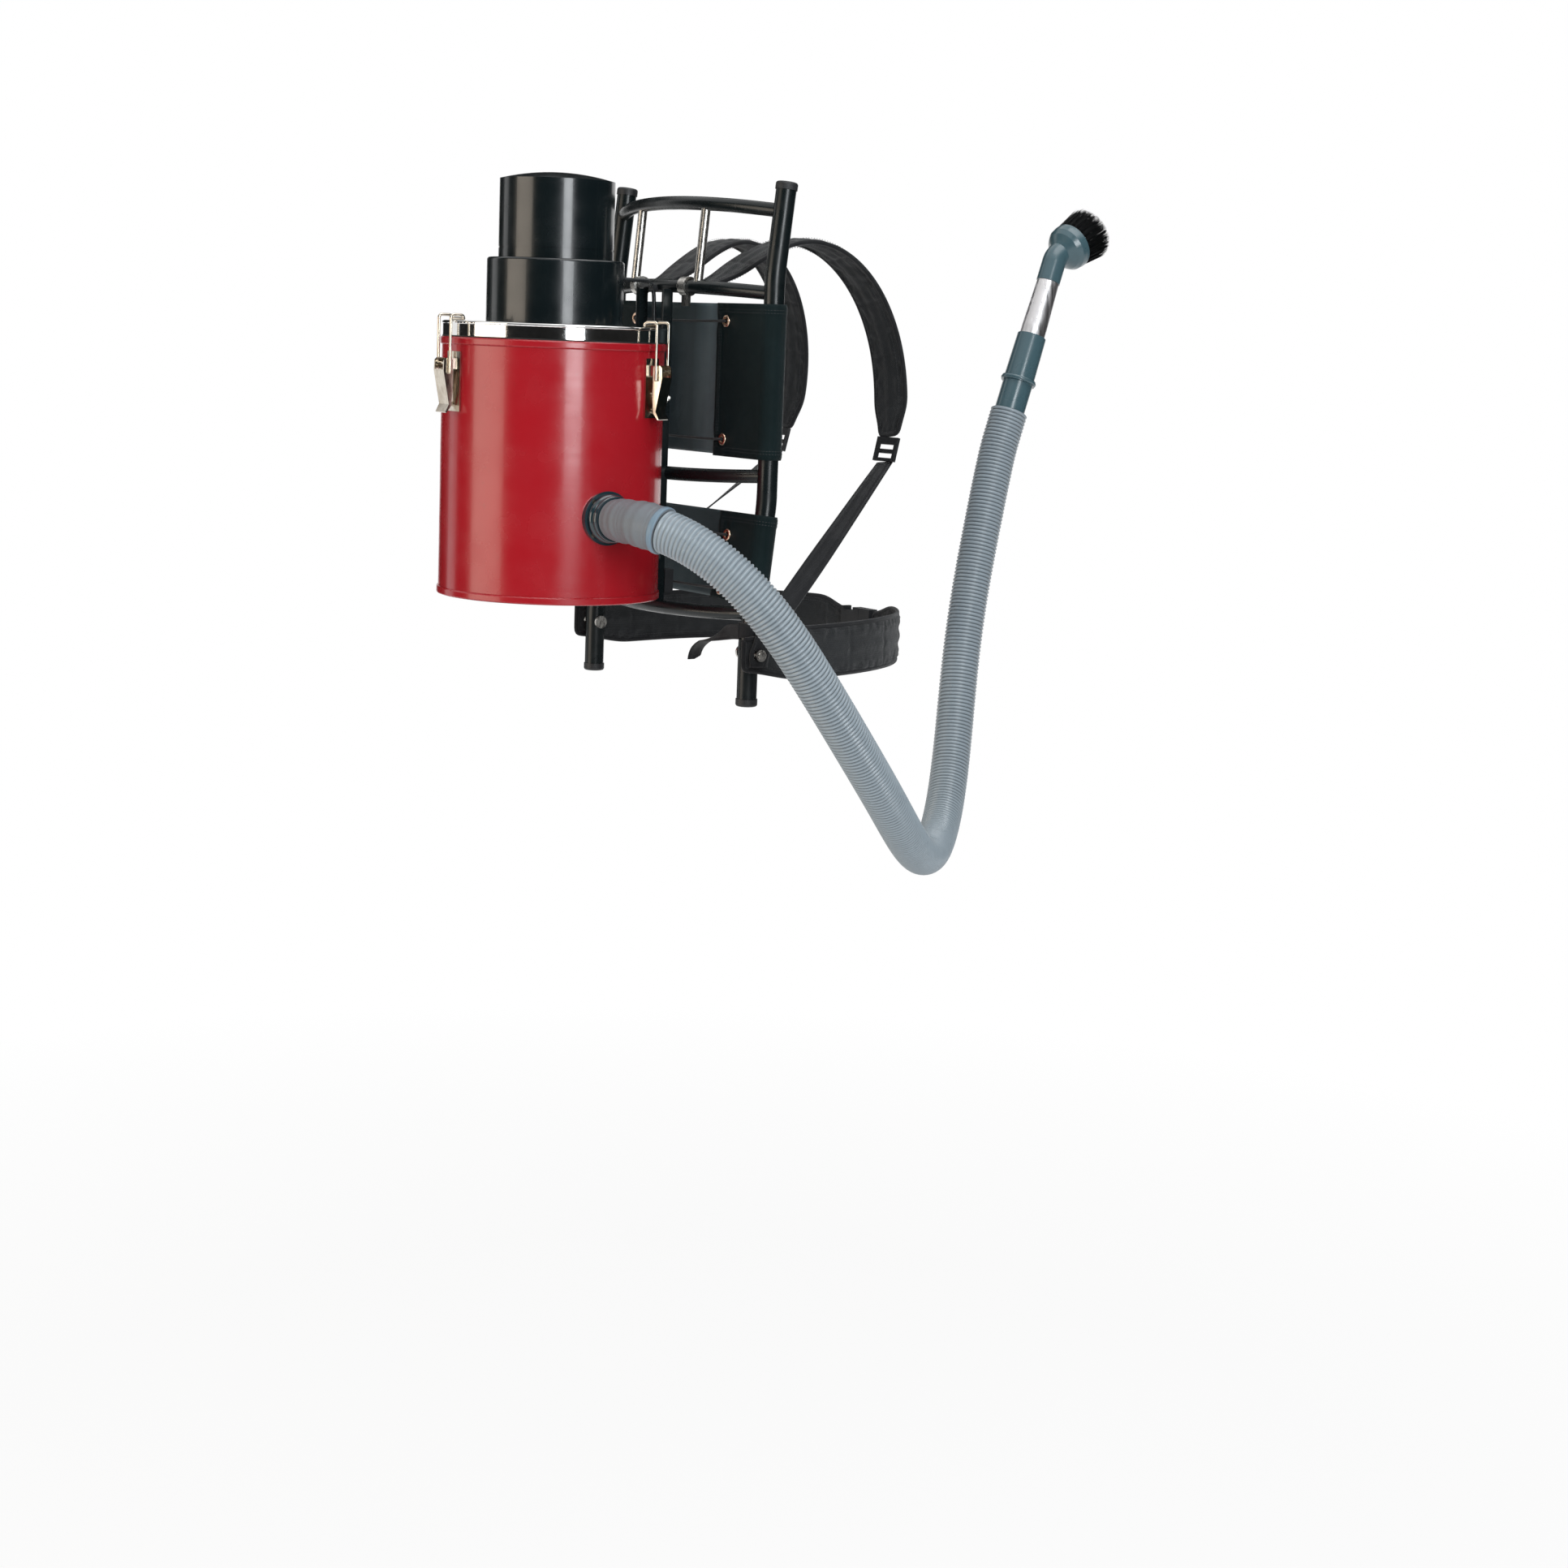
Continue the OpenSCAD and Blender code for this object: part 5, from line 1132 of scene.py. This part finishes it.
# %% Pad builder
pad_sides = 36
pad_channels = (-0.17, 0.17)
channel_sunk, channel_near = 0.45, 0.0024
edge_share = 0.46
end_rings = 2
thinner = 0.62  # how thin a pad is sewn, so that it has room to swell
pin_clear = 0.016


def pad(name, node, route, side, widths, thicks, crossings, cap, hole=None):
    """A padded strap; widths and thicks are for each ring, crossings the rings sewn from edge to edge."""
    count = len(widths)
    line, at = walk(route, count)
    sides, ups = held_frames(line, side)
    thin = [thinner * t for t in thicks]

    def outline(i):
        thick = thin[i] * (thinner if i in crossings else 1.0)
        return outline_pad(widths[i], thick, pad_sides, channels=pad_channels, sunk=channel_sunk)

    made = swept(name, line, sides, ups, outline, at, stands_for=[node], slot="pad_cloth")
    if hole:
        punch(made, *hole)
    pinned = []
    for i in range(count):
        shape = outline_pad(widths[i], thin[i], pad_sides)
        at_end = i < end_rings or i >= count - end_rings
        for k in range(pad_sides):
            edge = abs(shape[k, 0]) > edge_share * widths[i]
            channel = any(abs(shape[k, 0] - c * widths[i]) < channel_near for c in pad_channels)
            if i in crossings or at_end or edge or channel:
                pinned.append(i * pad_sides + k)
    if hole:
        far = np.linalg.norm(coordinates(made.data) - np.asarray(hole[0], float), axis=1)
        pinned += [int(i) for i in np.flatnonzero(far < pin_clear)]
    inflate(made, sorted(set(pinned)), cap)
    finer(made)
    return made, line, sides, ups


print("pad builder ready")

# %% [markdown]
# A pad's cut edge is closed by a folded tape, sewn on through both faces. The tape is a closed
# roll that follows the pad's edge all the way round, and the stitches run just inside it.

# %% Bindings and edge stitches
roll_width, roll_sides, roll_step = 0.0062, 10, 0.004


def binding(name, line, sides, ups, widths, thick):
    """The taped edge of a pad: one closed roll all the way round it."""
    half = np.array(widths)[:, None] / 2
    right, left = line + sides * half, line - sides * half
    loop = np.vstack([right, left[::-1], right[:1]])
    run = run_along(loop)
    want = np.linspace(0, run[-1], int(run[-1] / roll_step))
    path = at_lengths(loop, run, want)
    soften(path, 3)
    owner = np.array([int(np.argmin(np.linalg.norm(line - p, axis=1))) for p in path])
    ahead = headings(path)
    normal = ups[owner]
    normal = unit(normal - (normal * ahead).sum(1)[:, None] * ahead)
    roll = outline_pad(roll_width, thick, roll_sides, power=0.8)
    swept(name, path, np.cross(ahead, normal), normal, roll, want, finish=tape)


def edge_rows(line, sides, ups, widths, inset, lift):
    """Rows of stitches along both edges of a pad, on both of its faces."""
    rows = []
    for side in (1, -1):
        for face in (1, -1):
            offset = side * (np.array(widths)[:, None] / 2 - inset)
            rows.append(((line + sides * offset + face * ups * lift)[2:-2], face * ups[2:-2]))
    return rows


print("binding helpers ready")

# %% [markdown]
# ## The shoulder pads
# Two pads rise from the second crossbar, go over the shoulders and end at the chest, where a
# ladder buckle takes the webbing. Two sewn channels run down each pad, and a cross seam every
# seventy millimetres keeps the foam in place.

# %% Shoulder pads
pad_route = [
    (51, -58, 171), (53, -32, 179), (55, -6, 190), (60, 30, 216), (68, 74, 238), (76, 120, 234),
    (84, 160, 208), (92, 190, 166), (100, 208, 112), (107, 212, 56), (114, 206, 8), (120, 196, -36),
]  # fmt: skip
pad_rings = 112


def ramp(count, at_first, at_last, rise, fall):
    """A share for each ring: from at_first up to 1 within rise, then down to at_last within fall."""
    shares = []
    for i in range(count):
        f = i / (count - 1)
        rising = at_first + (1 - at_first) * float(smooth(f / rise))
        falling = at_last + (1 - at_last) * float(smooth((1 - f) / fall))
        shares.append(min(rising, falling))
    return shares


pad_widths = [0.058 * share for share in ramp(pad_rings, 0.62, 0.6, 0.12, 0.1)]
pad_thicks = [0.012 * share for share in ramp(pad_rings, 0.45, 0.45, 0.1, 0.06)]
pad_crossings = {14, 32, 50, 68, 86, 102}
pad_swell = 0.0026
for side_name, sign in (("right", 1), ("left", -1)):
    route = [(sign * x, y, z) for x, y, z in pad_route]
    made, *frames = pad(
        f"shoulder_pad_{side_name}", "shoulder_pads", route, (1, 0, 0),
        pad_widths, pad_thicks, pad_crossings, pad_swell,
    )  # fmt: skip
    binding(f"pad_binding_{side_name}", *frames, pad_widths, thick=0.0056)
    stitches(f"pad_stitches_{side_name}", edge_rows(*frames, pad_widths, inset=0.0062, lift=0.0047))
print("shoulder pads:", len(made.data.polygons), "faces each")

# %% [markdown]
# ## The waist belt
# Each half hangs on the clevis pin at the foot of an upright and comes round the hip to the buckle
# in front. It is thinner than the shoulder pads and has the same two sewn channels.

# %% Waist belt
belt_route = [
    (190, -90, -246), (192, -52, -246), (192.4, -14, -246), (196, 40, -245), (193, 100, -243),
    (176, 160, -241), (142, 212, -240), (86.4, 252, -240), (31.4, 257, -240), (-23.6, 252, -240),
]  # fmt: skip
belt_rings = 104
belt_widths = [0.058 * share for share in ramp(belt_rings, 0.62, 0.6, 0.2, 0.12)]
belt_thicks = [0.008 * share for share in ramp(belt_rings, 0.62, 0.5, 0.16, 0.08)]
belt_crossings = {22, 40, 58, 76, 94}
belt_swell = 0.0017
foot_y, pin_z = -0.03426, -0.246
pin_hole_r = 0.0066
for side_name, sign in (("right", 1), ("left", -1)):
    route = [(sign * x, y, z) for x, y, z in belt_route]
    hole = ((sign * 0.192, foot_y, pin_z), (1, 0, 0), pin_hole_r)
    made, *frames = pad(
        f"belt_half_{side_name}", "waist_belt", route, (0, 0, 1),
        belt_widths, belt_thicks, belt_crossings, belt_swell, hole,
    )  # fmt: skip
    binding(f"belt_binding_{side_name}", *frames, belt_widths, thick=0.0046)
    stitches(f"belt_stitches_{side_name}", edge_rows(*frames, belt_widths, inset=0.006, lift=0.0031))
print("waist belt:", len(made.data.polygons), "faces each half")

# %% [markdown]
# ## Webbing
# Flat webbing keeps its width and only twists and sags, so it is modelled directly. One strap runs
# from each ladder buckle down to the clevis pin; it turns as it goes, because the buckle faces
# forward and the pin faces sideways.

# %% Webbing straps
web_width, web_thick = 0.025, 0.002
web_points = 90
web_sag = 0.001
stitch_lift = 0.0011


def strap(name, node, stations, hole):
    """A flat strap through (point, width direction) stations in millimetres, with a pin hole."""
    keys = np.array([s[0] for s in stations], float)
    turns = unit(np.array([s[1] for s in stations], float))
    run = run_along(keys)
    want = np.linspace(0, run[-1], web_points)
    line, side = at_lengths(keys, run, want) / 1000, at_lengths(turns, run, want)
    soften(line, 6)
    soften(side, 6)
    line[:, 2] -= web_sag * np.sin(math.pi * want / want[-1]) ** 2
    sides, ups = held_frames(line, side)
    shape = outline_tape(web_width, web_thick)
    made = swept(name, line, sides, ups, shape, want / 1000, stands_for=[node], slot="webbing")
    punch(made, *hole)
    return made, line, sides, ups


def seam_rows(line, sides, ups, where, offsets, faces):
    """Rows of stitches on a strap's faces, at offsets from its middle."""
    line, sides, ups = line[where], sides[where], ups[where]
    return [(line + sides * w + face * ups * stitch_lift, face * ups) for w, face in zip(offsets, faces)]


buckle_end = spline(pad_route, len(pad_route) - 3) + (2, -6, -34)
web_x, web_y = 198.2, -34.26
web_bend = np.array((web_x, -28.26, -224))
for side_name, sign in (("right", 1), ("left", -1)):
    flip = np.array((sign, 1, 1))
    stations = [
        (buckle_end * flip, (1, 0.12 * sign, 0)),
        ((buckle_end * 0.66 + web_bend * 0.34) * flip, (0.8, 0.6 * sign, 0)),
        ((buckle_end * 0.33 + web_bend * 0.67) * flip, (0.3, 0.95 * sign, 0)),
        (web_bend * flip, (0, sign, 0)),
        (np.array((web_x, web_y, -246)) * flip, (0, sign, 0)),
        (np.array((web_x, web_y, -260)) * flip, (0, sign, 0)),
    ]
    hole = ((sign * web_x / 1000, foot_y, pin_z), (1, 0, 0), pin_hole_r)
    made, *frames = strap(f"webbing_{side_name}", "strap_webbing", stations, hole)
    offsets, faces = (-0.0098, -0.0098, 0.0098, 0.0098), (1, -1, 1, -1)
    stitches(f"webbing_stitches_{side_name}", seam_rows(*frames, slice(-12, -3), offsets, faces))
print("webbing:", len(made.data.polygons), "faces each")

# %% [markdown]
# ## The loose tail
# A spare end of webbing comes off a loop round the right upright, runs inwards behind it and folds
# over, so that its end hangs down. Its end is cut and sealed at a slant.

# %% Strap tail
tail_width = 0.018
tail_points = 64
tail_cut = 2.2
tail_route = [
    (200, -47.4, -220), (175, -47.4, -220), (148, -47.4, -223), (122, -46.8, -232),
    (97, -45.8, -240), (80, -44.8, -250), (73, -44.4, -264), (76, -44, -280),
]  # fmt: skip
tail_line, tail_at = walk(tail_route, tail_points)
# the fold: a quarter turn that starts at one sixth of the tail and ends at two thirds
turn = np.radians(90 * np.clip((np.linspace(0, 12, tail_points) - 2) / 6, 0, 1))
tail_sides, tail_ups = held_frames(tail_line, np.stack([0 * turn, np.sin(turn), np.cos(turn)], 1))


def tail_outline(i):
    """The tape, cut narrower towards its very end."""
    left = (tail_points - 1 - i) * float(tail_at[1])
    shape = outline_tape(tail_width, web_thick)
    shape[:, 0] = np.minimum(shape[:, 0], left * tail_cut)
    return shape


swept(
    "strap_tail_end", tail_line, tail_sides, tail_ups, tail_outline, tail_at,
    stands_for=["strap_tail"], slot="webbing",
)  # fmt: skip
print("strap tail:", round(float(tail_at[-1]), 3), "m")

# %% The tail's loop and stitches
loop_r, loop_thick = 0.01362, 0.0019
loop_middle = (0.175, -0.03289, -0.220)
angles = np.linspace(math.radians(-97), math.radians(250), 72)
loop_x, loop_y = loop_r * np.cos(angles), loop_r * np.sin(angles)
loop_line = np.stack(leaned(loop_x, loop_y, 0, tube_lean, loop_middle), 1)
loop_frames = held_frames(loop_line, (0, math.sin(tube_lean), math.cos(tube_lean)))
loop_at = loop_r * (angles - angles[0])
loop_outline = outline_tape(tail_width, loop_thick)
swept("tail_loop", loop_line, *loop_frames, loop_outline, loop_at, slot="webbing")
offsets, faces = (-0.006, 0.006, -0.006, 0.006), (-1, -1, 1, 1)
stitches("tail_stitches", seam_rows(tail_line, tail_sides, tail_ups, slice(4, 12), offsets, faces))
print("tail loop:", round(float(loop_at[-1]), 3), "m")

# %% [markdown]
# ## Bristles
# Forty-one tufts, each of fifty-six nylon bristles. Every bristle is a thin three-sided taper
# that leans out from its tuft and bends a little more towards its tip, and no two have quite the
# same length, so the brush's edge is soft.

# %% Bristles
random.seed(11)
tuft_rows = ((24, 0.027, 0.0), (17, 0.021, 0.5))
tuft_bristles = 56
tuft_r, tuft_z = 0.0022, 0.0194
golden_turn = 2.39996
bristle_length, bristle_r, bristle_taper = 0.0462, 0.00034, 0.45
tuft_lean = math.radians(5)
bristle_shares = (0.0, 0.35, 0.7, 1.0)
bell_middle = (-0.038627, 0.593824, 0.245175)
bell_turn, bell_tilt = math.radians(7.4), math.radians(-62)
bell = (
    Matrix.Translation(bell_middle)
    @ Matrix.Rotation(bell_turn, 4, "Z") @ Matrix.Rotation(bell_tilt, 4, "X")
)  # fmt: skip


def bristle_points(b, place):
    """The rings of bristle b of a tuft: it leans out and bends towards its tip."""
    r, a = tuft_r * math.sqrt((b + 0.5) / tuft_bristles), b * golden_turn
    x, y = r * math.cos(a), r * math.sin(a)
    long = bristle_length * random.uniform(0.955, 1.0)
    out = Vector((x * 0.9, y * 1.9, 0)) * random.uniform(0.8, 1.4)
    out += Vector((random.uniform(-1, 1), random.uniform(-1, 1), 0)) * 0.0008
    made = []
    for f in bristle_shares:
        centre = Vector((x, y, 0)) + Vector((0, 0, f * long)) + out * f**0.8
        thick = bristle_r * (1 - bristle_taper * f)
        for t in (a, a + 2 * math.pi / 3, a + 4 * math.pi / 3):
            made.append(place @ (centre + Vector((thick * math.cos(t), thick * math.sin(t), 0))))
    return made


points, faces = [], []
for count, radius, phase in tuft_rows:
    for k in range(count):
        place = (
            bell @ Matrix.Rotation(2 * math.pi * (k + phase) / count, 4, "Z")
            @ Matrix.Translation(Vector((radius, 0, tuft_z))) @ Matrix.Rotation(tuft_lean, 4, "Y")
        )  # fmt: skip
        for b in range(tuft_bristles):
            first = len(points)
            points += bristle_points(b, place)
            for low in range(first, first + 9, 3):
                faces += [(low + c, low + (c + 1) % 3, low + 3 + (c + 1) % 3, low + 3 + c) for c in range(3)]
            faces.append((first + 9, first + 10, first + 11))
new_piece("bristles", points, faces, body="brush", stands_for=["brush_bristles"], slot="bristle_black")
print("bristles:", len(points) // 12)

# %% [markdown]
# ## The room
# The object stands against white: the world is white to the camera and in what glass and metal
# reflect, and gives everything else a plain fill. A glossy object also needs something dark to
# reflect, or its sides lose their shape, so three curved black boards stand round it. Seen from the
# camera, a long one comes round the front, a narrow one stands behind at the left, and one hangs
# high up behind. They keep the lamps' reflections crisp, a gap between the first two lets the rear
# latch shine, and the camera doesn't see them.

# %% World
bpy.context.scene.view_settings.view_transform = "Standard"
world = bpy.data.worlds.new("studio")
bpy.context.scene.world = world
world.use_nodes = True
tree = world.node_tree
back = next(n for n in tree.nodes if n.type == "BACKGROUND")


def white_rays(tree):
    """1 for rays that see the background: from the camera, and those reflected or refracted."""
    path = tree.nodes.new("ShaderNodeLightPath")
    total = path.outputs["Is Camera Ray"]
    for ray in ("Is Glossy Ray", "Is Transmission Ray"):
        step = tree.nodes.new("ShaderNodeMath")
        step.operation = "MAXIMUM"
        tree.links.new(total, step.inputs[0])
        tree.links.new(path.outputs[ray], step.inputs[1])
        total = step.outputs[0]
    return total


fill_light, white = 0.34, 1.0
strength = tree.nodes.new("ShaderNodeMapRange")
strength.inputs["To Min"].default_value = fill_light
strength.inputs["To Max"].default_value = white
tree.links.new(white_rays(tree), strength.inputs[0])
tree.links.new(strength.outputs[0], back.inputs["Strength"])
back.inputs["Color"].default_value = (1, 1, 1, 1)
print("world ready")

# %% Boards
can_y = -0.2
board_r, board_top = 4.6, 3.4
board_cells = 45
board_arcs = ((-143, 108, -1.3), (-192, -160, -1.3), (108, 200, 0.95))

points, faces = [], []
for first, last, foot in board_arcs:
    k = len(points)
    arc = np.radians(np.linspace(first, last, board_cells + 1))
    points += [
        (board_r * math.cos(a), can_y + board_r * math.sin(a), z) for z in (foot, board_top) for a in arc
    ]
    top = k + board_cells + 1
    faces += [(k + i, k + i + 1, top + i + 1, top + i) for i in range(board_cells)]
board_mesh = bpy.data.meshes.new("board")
board_mesh.from_pydata(points, [], faces)
board = bpy.data.objects.new("board", board_mesh)
bpy.context.scene.collection.objects.link(board)
felt = Finish("black_felt", (0.012, 0.012, 0.012), 1.0)
felt.tint(felt.noise(3, 4), (0.02, 0.02, 0.02))
board.data.materials.append(felt.material)
board.visible_camera = False
board.visible_shadow = False
board.visible_diffuse = False
print("boards:", len(board_arcs))

# %% [markdown]
# ## Lamps and floor
# Three soft lamps: a wide warm one behind the wearer, a narrower cool one near the camera, whose
# lower edge is high enough to leave the canister's foot dark, and a large one above. The floor is
# pale, keeps the object's shadow, and fades into the background further out.

# %% Lamps
def lamp(name, where, aim, width, height, power, colour):
    """A soft rectangular lamp that faces its aim."""
    data = bpy.data.lights.new(name, "AREA")
    data.shape = "RECTANGLE"
    data.size, data.size_y, data.energy, data.color = width, height, power, colour
    made = bpy.data.objects.new(name, data)
    bpy.context.scene.collection.objects.link(made)
    made.location = where
    made.rotation_mode = "QUATERNION"
    made.rotation_quaternion = (Vector(aim) - Vector(where)).to_track_quat("-Z", "Y")
    return made


def round_the_can(degrees, distance, z):
    """A place at that angle and distance round the canister, as seen from above."""
    a = math.radians(degrees)
    return (distance * math.cos(a), can_y + distance * math.sin(a), z)


warm, cool, plain = (1, 0.88, 0.74), (0.93, 0.97, 1), (1, 1, 1)
lamp("wide_lamp", round_the_can(-98, 2.4, 0.1), (0, can_y, 0.1), 1.6, 1.5, power=25, colour=warm)
lamp("tall_lamp", round_the_can(-9, 3.1, 0.75), (0, can_y, 0.3), 0.95, 1.9, power=58, colour=cool)
lamp("top_lamp", (0.8, 0.3, 2.6), (0, 0, 0), 2.2, 2.2, power=34, colour=plain)

# %% Floor
ground_z = -1.33
fade_from, fade_to = 0.9, 2.4
floor_mesh = bpy.data.meshes.new("floor")
bm = bmesh.new()
bmesh.ops.create_grid(bm, x_segments=8, y_segments=8, size=30)
bm.to_mesh(floor_mesh)
bm.free()
floor = bpy.data.objects.new("floor", floor_mesh)
floor.location = (0, 0, ground_z)
bpy.context.scene.collection.objects.link(floor)
pale = Finish("pale_floor", (0.8, 0.8, 0.8), 0.9)
pale.tint(pale.noise(2.5, 4), (0.78, 0.78, 0.79))
from_middle = pale.node("ShaderNodeVectorMath", {"operation": "LENGTH"}, i0=pale.where()).outputs["Value"]
faded = pale.spread(from_middle, fade_from, fade_to, 0.9, 1.0)
share = pale.maths("MULTIPLY", white_rays(pale.tree), faded)
glow = pale.node("ShaderNodeEmission", Strength=1.0)
mixed = pale.node("ShaderNodeMixShader", i0=share, i1=pale.shader.outputs[0], i2=glow.outputs[0])
end = next(n for n in pale.tree.nodes if n.type == "OUTPUT_MATERIAL")
pale.tree.links.new(mixed.outputs[0], end.inputs["Surface"])
floor.data.materials.append(pale.material)
print("floor ready")
